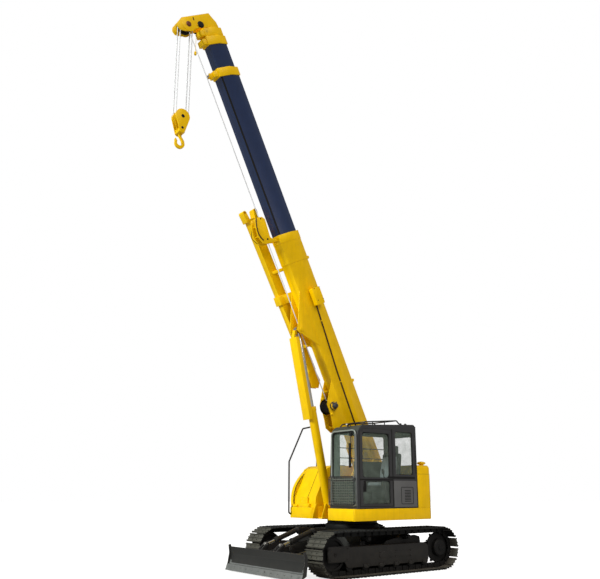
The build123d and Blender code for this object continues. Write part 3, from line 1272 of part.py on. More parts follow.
# ---- mesh guard in front of the lower windscreen
GUARD_STANDOFF = 60.0
GUARD_BAR = 22.0
GUARD_WIRE = 8.0
GUARD_WIRES_UP = 7
GUARD_WIRES_ACROSS = 6
GUARD_BOTTOM = 1255.0
GUARD_TOP = 1800.0
guard_width = 2 * cab_half - 60
guard_height = GUARD_TOP - GUARD_BOTTOM
guard_mid_z = (GUARD_TOP + GUARD_BOTTOM) / 2


def cab_front_plane(x):
    """Upright plane across the machine: its x is Y from the cab's middle, its y is Z from the guard's."""
    return Plane(origin=(x, cab_mid_y, guard_mid_z), x_dir=(0, 1, 0), z_dir=(1, 0, 0))


with BuildPart() as front_guard:
    with BuildSketch(cab_front_plane(CAB_FRONT_X + GUARD_STANDOFF)):
        Rectangle(guard_width, guard_height)
        Rectangle(guard_width - 2 * GUARD_BAR, guard_height - 2 * GUARD_BAR, mode=Mode.SUBTRACT)
        with GridLocations(guard_width / (GUARD_WIRES_UP + 1), 0, GUARD_WIRES_UP, 1):
            Rectangle(GUARD_WIRE, guard_height - GUARD_BAR)
        with GridLocations(0, guard_height / (GUARD_WIRES_ACROSS + 1), 1, GUARD_WIRES_ACROSS):
            Rectangle(guard_width - GUARD_BAR, GUARD_WIRE)
    extrude(amount=GUARD_BAR / 2, both=True)
    # four stand-offs from the cab's front
    with BuildSketch(cab_front_plane(CAB_FRONT_X)):
        with GridLocations(guard_width - 2 * GUARD_BAR, guard_height - 140, 2, 2):
            Rectangle(GUARD_BAR, GUARD_BAR)
    extrude(amount=GUARD_STANDOFF)
front_guard.part.label = "front_guard"
export_step(front_guard.part, "parts/front_guard.step")

# ---- roof rails
ROOF_RAIL_Z = CAB_TOP + ROOF_RAIL_RISE
RAIL_FRONT_EDGE_X = 690.0
RAIL_REAR_EDGE_X = -150.0
RAIL_INSET = 60.0             # from the cab's sides


def roof_z(x):
    """Height of the falling roof."""
    return CAB_TOP - CAB_ROOF_FALL * (x - CAB_REAR_X) / (CAB_FRONT_X - CAB_FRONT_LEAN - CAB_REAR_X)


# legs: X of the foot's middle, X of its top's middle, Y, half length along X
ROOF_RAIL_LEGS = (
    (600, 678, CAB_INNER_Y + RAIL_INSET + 12, 24),
    (600, 678, cab_mid_y, 24),
    (540, 540, CAB_OUTER_Y - RAIL_INSET, 13),
    (220, 220, CAB_OUTER_Y - RAIL_INSET, 13),
    (-130, -130, CAB_OUTER_Y - RAIL_INSET, 13),
)
with BuildPart() as roof_rails:
    with BuildLine() as roof_path:
        FilletPolyline(
            (RAIL_FRONT_EDGE_X, CAB_INNER_Y + RAIL_INSET, ROOF_RAIL_Z),
            (RAIL_FRONT_EDGE_X, CAB_OUTER_Y - RAIL_INSET, ROOF_RAIL_Z),
            (RAIL_REAR_EDGE_X, CAB_OUTER_Y - RAIL_INSET, ROOF_RAIL_Z),
            radius=60,
        )
    with BuildSketch(Plane(origin=roof_path.line @ 0, z_dir=roof_path.line % 0)):
        Circle(ROOF_RAIL_RADIUS)
    sweep()
    for foot_x, head_x, leg_y, half in ROOF_RAIL_LEGS:
        leg = [
            (foot_x - half, roof_z(foot_x - half)),
            (foot_x + half, roof_z(foot_x + half)),
            (head_x + half, ROOF_RAIL_Z),
            (head_x - half, ROOF_RAIL_Z),
        ]
        extrude(polygon(side_plane(leg_y), leg), amount=9, both=True)
roof_rails.part.label = "roof_rails"
export_step(roof_rails.part, "parts/roof_rails.step")


# ================================================================ boom
def section_face(plane, inset):
    """Six-sided boom section: flat top and bottom, sides folded outwards at mid-height."""
    half = BOOM_HEIGHT / 2 - inset
    flat = BOOM_FLAT - 0.6 * inset
    side = BOOM_SIDE - inset
    return polygon(
        plane, [(-flat, -half), (flat, -half), (side, 0), (flat, half), (-flat, half), (-side, 0)]
    )


def tube(s_from, s_to, inset, wall):
    """Boom tube between two places along the boom."""
    extrude(section_face(boom_cross_plane(s_from), inset), amount=s_to - s_from)
    extrude(section_face(boom_cross_plane(s_from), inset + wall), amount=s_to - s_from, mode=Mode.SUBTRACT)


def ring(s_from, length, outer_inset, inner_inset):
    """Collar or slide pad round a boom tube."""
    extrude(section_face(boom_cross_plane(s_from), outer_inset), amount=length)
    extrude(section_face(boom_cross_plane(s_from), inner_inset), amount=length, mode=Mode.SUBTRACT)


def boom_plate(outline, y_near, thickness):
    """Plate lying along the boom, from a distance off its plane outwards."""
    middle = y_near + (thickness / 2 if y_near > 0 else -thickness / 2)
    extrude(polygon(boom_side_plane(middle), outline), amount=thickness / 2, both=True)


BASE_FRONT = BASE_LENGTH - COLLAR_LENGTH
BOTTOM_T = -BOOM_HEIGHT / 2
luff_s, luff_t = LUFF_PIN
with BuildPart() as boom_base:
    tube(-BASE_TAIL + 60, BASE_LENGTH, 0, BOOM_WALL)
    # front collar: stands proud outside, and its inner face guides section 2
    ring(BASE_FRONT, COLLAR_LENGTH, -BASE_COLLAR_DEPTH, SECTION_STEP - SEAT_GAP)
    # doubled plate behind it
    ring(BASE_LENGTH - BASE_SLEEVE_LENGTH, BASE_SLEEVE_LENGTH - COLLAR_LENGTH, -BASE_SLEEVE_DEPTH, 2)
    # rear end plate
    extrude(section_face(boom_cross_plane(-BASE_TAIL + 60), 0), amount=14)
    # foot boss on the pin
    extrude(disc(boom_side_plane(), (0, 0), FOOT_BOSS_RADIUS), amount=WEB_GAP / 2 - SIDE_GAP, both=True)
    for place in (-1, 1):
        foot_cheek = [
            (-BASE_TAIL, -60),
            (-70, BOTTOM_T - 10),
            (520, BOTTOM_T - 10),
            (900, -40),
            (520, 60),
            (-60, 110),
            (-BASE_TAIL, 60),
        ]
        boom_plate(foot_cheek, place * (BOOM_SIDE - BOOM_WALL + 1), 14)
        luff_plate = [
            (luff_s - 470, BOTTOM_T + 6),
            (luff_s - 80, luff_t - 60),
            (luff_s + 40, luff_t - 90),
            (luff_s + 760, BOTTOM_T + 6),
        ]
        boom_plate(luff_plate, place * BRACKET_INNER, BRACKET_PLATE)
        luff_boss_y = place * (BRACKET_INNER + BRACKET_PLATE / 2)
        extrude(
            disc(boom_side_plane(luff_boss_y), LUFF_PIN, LUFF_BOSS_RADIUS), amount=BRACKET_PLATE / 2, both=True
        )
        # pin stub inside the plate and its cap outside; the eye floats between the stubs
        stub_inner = LUFF_EYE_WIDTH / 2 + 6
        boom_plate_mid = place * (stub_inner + BRACKET_INNER) / 2
        extrude(
            disc(boom_side_plane(boom_plate_mid), LUFF_PIN, LUFF_PIN_RADIUS),
            amount=(BRACKET_INNER - stub_inner) / 2 + 1,
            both=True,
        )
        cap_y = place * (BRACKET_INNER + BRACKET_PLATE + 8)
        extrude(disc(boom_side_plane(cap_y), LUFF_PIN, LUFF_PIN_RADIUS + 20), amount=9, both=True)
    # pin bore through the foot, which also clears the inside of the boss
    extrude(
        disc(boom_side_plane(), (0, 0), FOOT_PIN_RADIUS + PIN_GAP),
        amount=WEB_GAP,
        both=True,
        mode=Mode.SUBTRACT,
    )
boom_base.part.label = "boom_base"
export_step(boom_base.part, "parts/boom_base.step")

# ---- sections 2, 3 and 4: front end along the boom as parked, and inset
section_2_front = BASE_LENGTH + COLLAR_GAP + COLLAR_LENGTH + SECTION_2_OUT
section_3_front = section_2_front + COLLAR_GAP + COLLAR_LENGTH + SECTION_3_OUT
section_4_front = section_3_front + COLLAR_GAP + COLLAR_LENGTH
for number, front in ((2, section_2_front), (3, section_3_front), (4, section_4_front)):
    inset = (number - 1) * SECTION_STEP
    rear = front - SECTION_LENGTH
    with BuildPart() as section:
        tube(rear, front, inset, BOOM_WALL)
        ring(front - COLLAR_LENGTH, COLLAR_LENGTH, inset - COLLAR_DEPTH, inset + SECTION_STEP - SEAT_GAP)
        with BuildSketch(boom_cross_plane(front - COLLAR_LENGTH + 20)):
            with Locations((0, inset - COLLAR_DEPTH - BOOM_HEIGHT / 2 - LUG_DEPTH / 2 + 1)):
                Rectangle(LUG_WIDTH, LUG_DEPTH)
        extrude(amount=COLLAR_LENGTH - 60)
        # rear slide pads, against the inside of the tube around it
        ring(rear, 150, inset - (SECTION_STEP - BOOM_WALL) + SEAT_GAP, inset + BOOM_WALL)
    section.part.label = f"boom_section_{number}"
    export_step(section.part, f"parts/boom_section_{number}.step")

# ---- section 5 with the boom head
section_5_rear = section_4_front + COLLAR_GAP - SECTION_LENGTH
head_s = section_4_front + HEAD_REACH
head_t = -HEAD_DROP
section_5_end = section_4_front + 40
TIP_INSET = 4 * SECTION_STEP
with BuildPart() as boom_head:
    tube(section_5_rear, section_5_end, TIP_INSET, BOOM_WALL)
    ring(section_5_rear, 150, TIP_INSET - (SECTION_STEP - BOOM_WALL) + SEAT_GAP, TIP_INSET + BOOM_WALL)
    head_half = BOOM_HEIGHT / 2 - TIP_INSET
    cheek_rear = section_4_front + COLLAR_GAP + 4
    cheek = [
        (cheek_rear, head_half - 16),
        (head_s + 18, head_half - 35),
        (head_s + 138, 75),
        (head_s + 218, 35),
        (head_s + 168, head_t + 181),
        (head_s + 133, head_t - 104),
        (head_s + 33, head_t - 244),
        (head_s - 42, head_t - 277),
        (head_s - 122, head_t - 244),
        (head_s - 157, head_t - 119),
        (head_s - 159, head_t + 21),
        (head_s - 112, head_t + 151),
        (cheek_rear, head_t + 281),
    ]
    for place in (-1, 1):
        boom_plate(cheek, place * (HEAD_HALF_WIDTH - HEAD_CHEEK), HEAD_CHEEK)
    # end plate of the tube
    extrude(section_face(boom_cross_plane(section_5_end - 12), TIP_INSET), amount=12)
    # top plate between the cheeks
    top_plate = [
        (cheek_rear + 2, head_half - 17),
        (head_s + 18, head_half - 36),
        (head_s + 138, 74),
        (head_s + 216, 36),
        (head_s + 209, 23),
        (head_s + 131, 61),
        (head_s + 12, head_half - 50),
        (cheek_rear + 2, head_half - 31),
    ]
    extrude(polygon(boom_side_plane(), top_plate), amount=HEAD_HALF_WIDTH - HEAD_CHEEK / 2, both=True)
    # sheave pin
    extrude(disc(boom_side_plane(), (head_s, head_t), 30), amount=HEAD_HALF_WIDTH + 14, both=True)
boom_head.part.label = "boom_head"
export_step(boom_head.part, "parts/boom_head.step")


def sheave_profile(bore):
    """Half-section of a rope sheave with its groove."""
    half = SHEAVE_WIDTH / 2
    groove = SHEAVE_PITCH_RADIUS - ROPE_RADIUS - SEAT_GAP
    return [
        (-half, bore),
        (-half, SHEAVE_RADIUS),
        (-ROPE_RADIUS - 1, SHEAVE_RADIUS),
        (-ROPE_RADIUS - 1, groove),
        (ROPE_RADIUS + 1, groove),
        (ROPE_RADIUS + 1, SHEAVE_RADIUS),
        (half, SHEAVE_RADIUS),
        (half, bore),
    ]


head_x, _, head_z = boom_point(head_s, head_t)
with BuildPart() as head_sheaves:
    for place in (-1, 1):
        sheave_y = BOOM_Y + place * SHEAVE_SPACING / 2
        section = polygon(lathe_plane(head_x, sheave_y, head_z, 1), sheave_profile(30 + PIN_GAP))
        revolve(section, axis=Axis((head_x, sheave_y, head_z), (0, 1, 0)))
head_sheaves.part.label = "head_sheaves"
export_step(head_sheaves.part, "parts/head_sheaves.step")

# ---- rope falls and hook block, hanging plumb under the head sheaves
block_z = head_z - FALL_LENGTH
with BuildPart() as rope_falls:
    with BuildSketch(plan_plane(block_z)):
        with Locations((head_x, BOOM_Y)):
            with GridLocations(2 * SHEAVE_PITCH_RADIUS, SHEAVE_SPACING, 2, 2):
                Circle(ROPE_RADIUS)
    extrude(amount=FALL_LENGTH)
rope_falls.part.label = "rope_falls"
export_step(rope_falls.part, "parts/rope_falls.step")

BLOCK_PIN_RADIUS = 24.0
BLOCK_CHEEK = 18.0
BLOCK_CROWN = 150.0           # cheek's radius round the sheaves
BLOCK_FOOT_RADIUS = 62.0      # and round the trunnion
BLOCK_FOOT = 298.0            # trunnion's middle below the sheave axis
TRUNNION_HEIGHT = 90.0
SHANK_RADIUS = 22.0
HOOK_DROP = 560.0             # bowl's middle below the sheave axis
HOOK_OUTER = 104.0
HOOK_BOWL = 56.0
HOOK_HALF_THICKNESS = 24.0
with BuildPart() as hook_block:
    for place in (-1, 1):
        sheave_y = BOOM_Y + place * SHEAVE_SPACING / 2
        section = polygon(lathe_plane(head_x, sheave_y, block_z, 1), sheave_profile(BLOCK_PIN_RADIUS))
        revolve(section, axis=Axis((head_x, sheave_y, block_z), (0, 1, 0)))
    extrude(disc(side_plane(BOOM_Y), (head_x, block_z), BLOCK_PIN_RADIUS + PIN_GAP), amount=BLOCK_WIDTH / 2, both=True)
    # two outer cheeks and a divider: round over the sheaves, narrow at the trunnion
    for cheek_place in (-1, 0, 1):
        cheek_y = BOOM_Y + cheek_place * (BLOCK_WIDTH - BLOCK_CHEEK) / 2
        with BuildSketch(side_plane(cheek_y)) as block_cheek:
            with Locations((head_x, block_z + 5)):
                Circle(BLOCK_CROWN)
            with Locations((head_x, block_z - BLOCK_FOOT)):
                Circle(BLOCK_FOOT_RADIUS)
            make_hull()
        extrude(amount=(BLOCK_CHEEK if cheek_place else 12) / 2, both=True)
    # trunnion that carries the hook
    trunnion_bottom = block_z - BLOCK_FOOT - TRUNNION_HEIGHT / 2
    cheek_bottom = block_z - BLOCK_FOOT - BLOCK_FOOT_RADIUS
    shank_top = trunnion_bottom + 0.6 * TRUNNION_HEIGHT
    with BuildSketch(plan_plane(trunnion_bottom)):
        with Locations((head_x, BOOM_Y)):
            Rectangle(1.9 * BLOCK_FOOT_RADIUS, BLOCK_WIDTH - BLOCK_CHEEK)
    extrude(amount=TRUNNION_HEIGHT)
    extrude(
        disc(plan_plane(cheek_bottom - 1), (head_x, BOOM_Y), SHANK_RADIUS + PIN_GAP),
        amount=shank_top - cheek_bottom + 5,
        mode=Mode.SUBTRACT,
    )
hook_block.part.label = "hook_block"
export_step(hook_block.part, "parts/hook_block.step")

with BuildPart() as hook:
    hook_z = block_z - HOOK_DROP
    shank_bottom = hook_z + HOOK_OUTER + 66
    extrude(
        disc(plan_plane(shank_bottom), (head_x, BOOM_Y), SHANK_RADIUS), amount=shank_top - shank_bottom
    )
    # bowl open to the front, with a raised tip and a stem that leans over its middle
    bowl_plane = Plane(origin=(head_x, BOOM_Y, hook_z), x_dir=(1, 0, 0), z_dir=(0, -1, 0))
    outer_arc = [
        (HOOK_OUTER * cos(radians(turn)), HOOK_OUTER * sin(radians(turn))) for turn in range(20, -191, -15)
    ]
    inner_arc = [
        (4 + HOOK_BOWL * cos(radians(turn)), 12 + HOOK_BOWL * sin(radians(turn)))
        for turn in range(150, 391, 15)
    ]
    stem_outline = [
        (-90, 74),
        (-SHANK_RADIUS - 8, 150),
        (-SHANK_RADIUS - 8, 188),
        (SHANK_RADIUS + 8, 188),
        (SHANK_RADIUS, 150),
        (-40, 66),
    ]
    tip_outline = [(84, 80), (HOOK_OUTER - 8, 94), (HOOK_OUTER, 62)]
    extrude(
        polygon(bowl_plane, outer_arc + stem_outline + inner_arc + tip_outline),
        amount=HOOK_HALF_THICKNESS,
        both=True,
    )
hook.part.label = "hook"
export_step(hook.part, "parts/hook.step")

# ---- luffing cylinder
luff_eye = boom_point(*LUFF_PIN)
LUFF_LENGTH = hypot(luff_eye[0] - LUFF_FOOT[0], luff_eye[2] - LUFF_FOOT[1])
LUFF_ANGLE = degrees(atan2(luff_eye[2] - LUFF_FOOT[1], luff_eye[0] - LUFF_FOOT[0]))
luff_plane = cylinder_plane(LUFF_FOOT, LUFF_ANGLE, BOOM_Y)
luff_axis = Axis(luff_plane.origin, luff_plane.x_dir)
with BuildPart() as luff_barrel:
    bore = LUFF_ROD_RADIUS + PIN_GAP
    barrel = [
        (LUFF_NECK, 0),
        (LUFF_NECK, LUFF_BARREL_RADIUS),
        (LUFF_BARREL_LENGTH - 90, LUFF_BARREL_RADIUS),
        (LUFF_BARREL_LENGTH - 90, LUFF_BARREL_RADIUS + 6),
        (LUFF_BARREL_LENGTH, LUFF_BARREL_RADIUS + 6),
        (LUFF_BARREL_LENGTH, bore),
        (LUFF_NECK + 40, bore),
        (LUFF_NECK + 40, 0),
    ]
    revolve(polygon(luff_plane, barrel), axis=luff_axis)
    extrude(
        eye_outline(luff_plane, (0, 0), LUFF_EYE_RADIUS, LUFF_NECK + 1, 60), amount=LUFF_EYE_WIDTH / 2, both=True
    )
    extrude(
        disc(luff_plane, (0, 0), LUFF_PIN_RADIUS + PIN_GAP),
        amount=LUFF_EYE_WIDTH,
        both=True,
        mode=Mode.SUBTRACT,
    )
luff_barrel.part.label = "luff_barrel"
export_step(luff_barrel.part, "parts/luff_barrel.step")

with BuildPart() as luff_rod:
    rod_start = LUFF_LENGTH - LUFF_ROD_LENGTH
    rod_end = LUFF_LENGTH - LUFF_EYE_RADIUS + 12
    rod = [(rod_start, 0), (rod_start, LUFF_ROD_RADIUS), (rod_end, LUFF_ROD_RADIUS), (rod_end, 0)]
    revolve(polygon(luff_plane, rod), axis=luff_axis)
    extrude(disc(luff_plane, (LUFF_LENGTH, 0), LUFF_EYE_RADIUS), amount=LUFF_EYE_WIDTH / 2, both=True)
    extrude(
        disc(luff_plane, (LUFF_LENGTH, 0), LUFF_PIN_RADIUS), amount=LUFF_EYE_WIDTH, both=True,
        mode=Mode.SUBTRACT,
    )
luff_rod.part.label = "luff_rod"
export_step(luff_rod.part, "parts/luff_rod.step")

# ---- rod guard: a channel in front of the rod, hung from the rod's eye
GUARD_TOP_S = LUFF_LENGTH - GUARD_DROP
GUARD_LOW_S = GUARD_TOP_S - GUARD_LENGTH
with BuildPart() as rod_guard:
    guard_side = [
        (GUARD_LOW_S, -GUARD_OFFSET - GUARD_PLATE),
        (GUARD_TOP_S, -GUARD_OFFSET - GUARD_PLATE),
        (GUARD_TOP_S, -GUARD_OFFSET + GUARD_FLANGE),
        (GUARD_LOW_S, -GUARD_OFFSET + GUARD_FLANGE),
    ]
    extrude(polygon(luff_plane, guard_side), amount=GUARD_WIDTH / 2, both=True)
    guard_room = [
        (GUARD_LOW_S - 10, -GUARD_OFFSET),
        (GUARD_TOP_S + 10, -GUARD_OFFSET),
        (GUARD_TOP_S + 10, 10),
        (GUARD_LOW_S - 10, 10),
    ]
    extrude(
        polygon(luff_plane, guard_room), amount=GUARD_WIDTH / 2 - GUARD_PLATE, both=True, mode=Mode.SUBTRACT
    )
    # hanger: stays above the barrel's end when the ram is in
    hanger = [
        (GUARD_TOP_S - 60, -GUARD_OFFSET - 2),
        (LUFF_LENGTH - LUFF_EYE_RADIUS - 40, -LUFF_BARREL_RADIUS - 18),
        (LUFF_LENGTH - LUFF_EYE_RADIUS - 10, -LUFF_BARREL_RADIUS - 18),
        (LUFF_LENGTH - LUFF_EYE_RADIUS - 10, -LUFF_ROD_RADIUS - 3),
        (LUFF_LENGTH, -LUFF_ROD_RADIUS - 3),
        (LUFF_LENGTH, -LUFF_BARREL_RADIUS - 18),
        (GUARD_TOP_S, -GUARD_OFFSET - 2),
    ]
    extrude(polygon(luff_plane, hanger), amount=HANGER_HALF, both=True)
    extrude(
        disc(luff_plane, (LUFF_LENGTH, 0), LUFF_EYE_RADIUS + SEAT_GAP),
        amount=HANGER_HALF + 1,
        both=True,
        mode=Mode.SUBTRACT,
    )
rod_guard.part.label = "rod_guard"
export_step(rod_guard.part, "parts/rod_guard.step")

# ---- winch under the boom
winch_s, winch_t = WINCH_AXIS
with BuildPart() as winch_frame:
    # side plates: a tail towards the boom's foot carries the hoist's valve and pipes
    winch_plate = [
        (winch_s - 620, BOTTOM_T),
        (winch_s - 540, BOTTOM_T - 320),
        (winch_s - 400, BOTTOM_T - 400),
        (winch_s - 230, BOTTOM_T - 360),
        (winch_s - 90, winch_t - 130),
        (winch_s + 90, winch_t - 130),
        (winch_s + 330, BOTTOM_T - 150),
        (winch_s + 500, BOTTOM_T),
    ]
    for place in (-1, 1):
        boom_plate(winch_plate, place * (BOOM_FLAT - WINCH_PLATE), WINCH_PLATE)
        motor_y = place * (BOOM_FLAT + MOTOR_LENGTH / 2 - 1)
        extrude(disc(boom_side_plane(motor_y), WINCH_AXIS, MOTOR_RADIUS), amount=MOTOR_LENGTH / 2, both=True)
    for bar_s, bar_t in ((winch_s - 430, BOTTOM_T - 300), (winch_s - 290, BOTTOM_T - 90), (winch_s + 300, BOTTOM_T - 100)):
        extrude(disc(boom_side_plane(), (bar_s, bar_t), TIE_BAR_RADIUS), amount=BOOM_FLAT - 2, both=True)
winch_frame.part.label = "winch_frame"
export_step(winch_frame.part, "parts/winch_frame.step")

with BuildPart() as winch_drum:
    half = BOOM_FLAT - WINCH_PLATE - SEAT_GAP
    drum = [
        (-half, 0),
        (-half, DRUM_FLANGE_RADIUS),
        (-half + DRUM_FLANGE, DRUM_FLANGE_RADIUS),
        (-half + DRUM_FLANGE, DRUM_RADIUS + WOUND_ROPE),
        (half - DRUM_FLANGE, DRUM_RADIUS + WOUND_ROPE),
        (half - DRUM_FLANGE, DRUM_FLANGE_RADIUS),
        (half, DRUM_FLANGE_RADIUS),
        (half, 0),
    ]
    drum_x, drum_y, drum_z = boom_point(winch_s, winch_t)
    section = polygon(lathe_plane(drum_x, drum_y, drum_z, 1), drum)
    revolve(section, axis=Axis((drum_x, drum_y, drum_z), (0, 1, 0)))
winch_drum.part.label = "winch_drum"
export_step(winch_drum.part, "parts/winch_drum.step")

# ---- boom length sensor box on the left side
with BuildPart() as sensor_box:
    box_s = BASE_LENGTH - SENSOR_BOX_SETBACK
    box_end = box_s + SENSOR_BOX_LENGTH
    box_low = 40 - SENSOR_BOX_DEPTH / 2
    box_high = box_low + SENSOR_BOX_DEPTH
    box_outline = [(box_s, box_low), (box_end, box_low), (box_end, box_high), (box_s, box_high)]
    boom_plate(box_outline, BOOM_SIDE + SEAT_GAP, 120)
    fillet(sensor_box.edges().filter_by(Axis.Y), 20)
sensor_box.part.label = "sensor_box"
export_step(sensor_box.part, "parts/sensor_box.step")

# ---- fly jib, stowed along the right side under the boom's edge
JIB_TOP_S = BASE_LENGTH + JIB_OVERHANG
JIB_LOW_S = JIB_TOP_S - JIB_LENGTH
# jib beam: t of its lower and upper edges at its two ends
JIB_TOP_EDGES = (-560.0, -330.0)
JIB_LOW_EDGES = (-430.0, -240.0)
FORK_MIDDLE = sum(JIB_TOP_EDGES) / 2
FORK_SPREAD = 230.0


def jib_edges(s):
    """t of the jib's lower and upper edges at a place along the boom."""
    share = (s - JIB_LOW_S) / JIB_LENGTH
    return [low + share * (top - low) for low, top in zip(JIB_LOW_EDGES, JIB_TOP_EDGES)]


with BuildPart() as fly_jib:
    jib_plane = boom_side_plane(JIB_Y)
    jib_beam = [
        (JIB_TOP_S, JIB_TOP_EDGES[0]),
        (JIB_TOP_S, JIB_TOP_EDGES[1]),
        (JIB_LOW_S, JIB_LOW_EDGES[1]),
        (JIB_LOW_S, JIB_LOW_EDGES[0]),
    ]
    extrude(polygon(jib_plane, jib_beam), amount=JIB_WIDTH / 2, both=True)
    # fork that pins to the boom's head: two prongs with rounded ends
    for place in (-1, 1):
        prong_t = FORK_MIDDLE + place * FORK_SPREAD / 2
        prong_end = (JIB_TOP_S + 150, prong_t + place * 30)
        fork = [
            (JIB_TOP_S - 60, prong_t - 50),
            (prong_end[0], prong_end[1] - 44),
            (prong_end[0], prong_end[1] + 44),
            (JIB_TOP_S - 60, prong_t + 50),
        ]
        extrude(polygon(jib_plane, fork), amount=JIB_WIDTH / 2 + 10, both=True)
        extrude(disc(jib_plane, prong_end, 44), amount=JIB_WIDTH / 2 + 10, both=True)
        extrude(disc(jib_plane, prong_end, JIB_PIN_BORE), amount=JIB_WIDTH, both=True, mode=Mode.SUBTRACT)
    # two plates at the sheave end
    low_edge, high_edge = JIB_LOW_EDGES
    tip = [
        (JIB_LOW_S + 40, low_edge + 10),
        (JIB_LOW_S + 40, high_edge - 10),
        (JIB_LOW_S - 260, high_edge + 30),
        (JIB_LOW_S - 400, high_edge - 90),
        (JIB_LOW_S - 330, low_edge - 50),
        (JIB_LOW_S - 60, low_edge - 40),
    ]
    for place in (-1, 1):
        extrude(polygon(boom_side_plane(JIB_Y + place * 45), tip), amount=8, both=True)
fly_jib.part.label = "fly_jib"
export_step(fly_jib.part, "parts/fly_jib.step")

JIB_ARM_LENGTH = 70.0
CLAMP_LENGTH = 200.0
CLAMP_PLATE = 24.0
CLAMP_GAP = 4.0
# jib carriers: setback of each from the jib's top end, and whether it clamps the jib
JIB_CARRIERS = ((2950.0, False), (1850.0, True), (1240.0, False))
with BuildPart() as jib_brackets:
    jib_face_y = JIB_Y + JIB_WIDTH / 2
    side_low = (-BOOM_FLAT - 0.1 * (BOOM_SIDE - BOOM_FLAT), 0.9 * BOTTOM_T)
    side_high = (-BOOM_FLAT - 0.5 * (BOOM_SIDE - BOOM_FLAT), 0.5 * BOTTOM_T)
    for setback, clamps in JIB_CARRIERS:
        carrier_s = JIB_TOP_S - setback
        low_t, high_t = jib_edges(carrier_s)
        arm = [side_low, side_high, (jib_face_y, high_t - 20), (jib_face_y, low_t + 60)]
        length = CLAMP_LENGTH if clamps else JIB_ARM_LENGTH
        extrude(polygon(boom_cross_plane(carrier_s - length / 2), arm), amount=length)
        if clamps:
            # a channel round the jib, open at its far side's middle
            low_t = min(jib_edges(carrier_s + length / 2)[0], low_t) - CLAMP_GAP
            high_t = max(jib_edges(carrier_s - length / 2)[1], high_t) + CLAMP_GAP
            far_y = JIB_Y - JIB_WIDTH / 2 - CLAMP_GAP
            wraps = (
                (far_y - CLAMP_PLATE, jib_face_y, low_t - CLAMP_PLATE, low_t),
                (far_y - CLAMP_PLATE, jib_face_y, high_t, high_t + CLAMP_PLATE),
                (far_y - CLAMP_PLATE, far_y, low_t - CLAMP_PLATE, low_t + 60),
                (jib_face_y, jib_face_y + CLAMP_PLATE, low_t - CLAMP_PLATE, high_t + CLAMP_PLATE),
            )
            for y_from, y_to, t_from, t_to in wraps:
                wrap = [(y_from, t_from), (y_to, t_from), (y_to, t_to), (y_from, t_to)]
                extrude(polygon(boom_cross_plane(carrier_s - length / 2), wrap), amount=length)
jib_brackets.part.label = "jib_brackets"
export_step(jib_brackets.part, "parts/jib_brackets.step")
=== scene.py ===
"""Looks of a crawler crane: a telescopic boom on a slewing upperworks, tracks and a dozer blade.

Everything is in metres in the machine's own frame: +X is the front, +Y the left and +Z up, with the
origin on the slewing axis at ground level. What lies on the boom is made in boom coordinates: x along
the boom from its foot pin, y to the left of its plane and z square to it, towards its top face.
"""

import logging
import math
from collections.abc import Callable, Iterator
from contextlib import contextmanager
from dataclasses import dataclass, field
from enum import Enum

import bpy
from mathutils import Matrix, Vector
from mathutils.bvhtree import BVHTree


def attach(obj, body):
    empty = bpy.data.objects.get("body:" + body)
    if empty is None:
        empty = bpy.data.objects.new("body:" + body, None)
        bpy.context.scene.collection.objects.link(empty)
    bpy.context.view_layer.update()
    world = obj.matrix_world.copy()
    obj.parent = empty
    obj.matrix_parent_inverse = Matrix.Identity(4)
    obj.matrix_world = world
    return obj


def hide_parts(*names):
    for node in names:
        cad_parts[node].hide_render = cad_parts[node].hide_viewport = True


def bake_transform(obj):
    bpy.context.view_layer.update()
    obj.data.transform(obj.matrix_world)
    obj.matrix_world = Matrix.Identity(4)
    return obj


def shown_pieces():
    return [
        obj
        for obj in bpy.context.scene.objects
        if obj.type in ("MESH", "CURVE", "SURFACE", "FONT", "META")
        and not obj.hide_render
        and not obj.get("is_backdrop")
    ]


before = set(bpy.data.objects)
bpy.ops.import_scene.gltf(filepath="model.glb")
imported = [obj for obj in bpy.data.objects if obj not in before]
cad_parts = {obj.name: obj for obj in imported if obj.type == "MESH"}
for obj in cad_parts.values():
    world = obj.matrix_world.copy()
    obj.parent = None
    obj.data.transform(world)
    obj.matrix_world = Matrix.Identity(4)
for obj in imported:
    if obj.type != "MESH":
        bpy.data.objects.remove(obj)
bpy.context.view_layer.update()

log = logging.getLogger("crane")

Point = tuple[float, float, float]
Pair = tuple[float, float]
Piece = bpy.types.Object


# -------- finishes
class Slot(Enum):
    """Finish names that the machine's record knows."""

    YELLOW = "yellow_paint"
    NAVY = "navy_paint"
    DARK = "dark_paint"
    BLACK = "black_paint"
    TRACK = "track_steel"
    BRIGHT = "bright_steel"
    CHROME = "chrome_rod"
    ROPE = "rope_wire"
    GLASS = "cab_glass"
    FABRIC = "seat_fabric"
    PLASTIC = "console_plastic"
    IRON = "engine_iron"


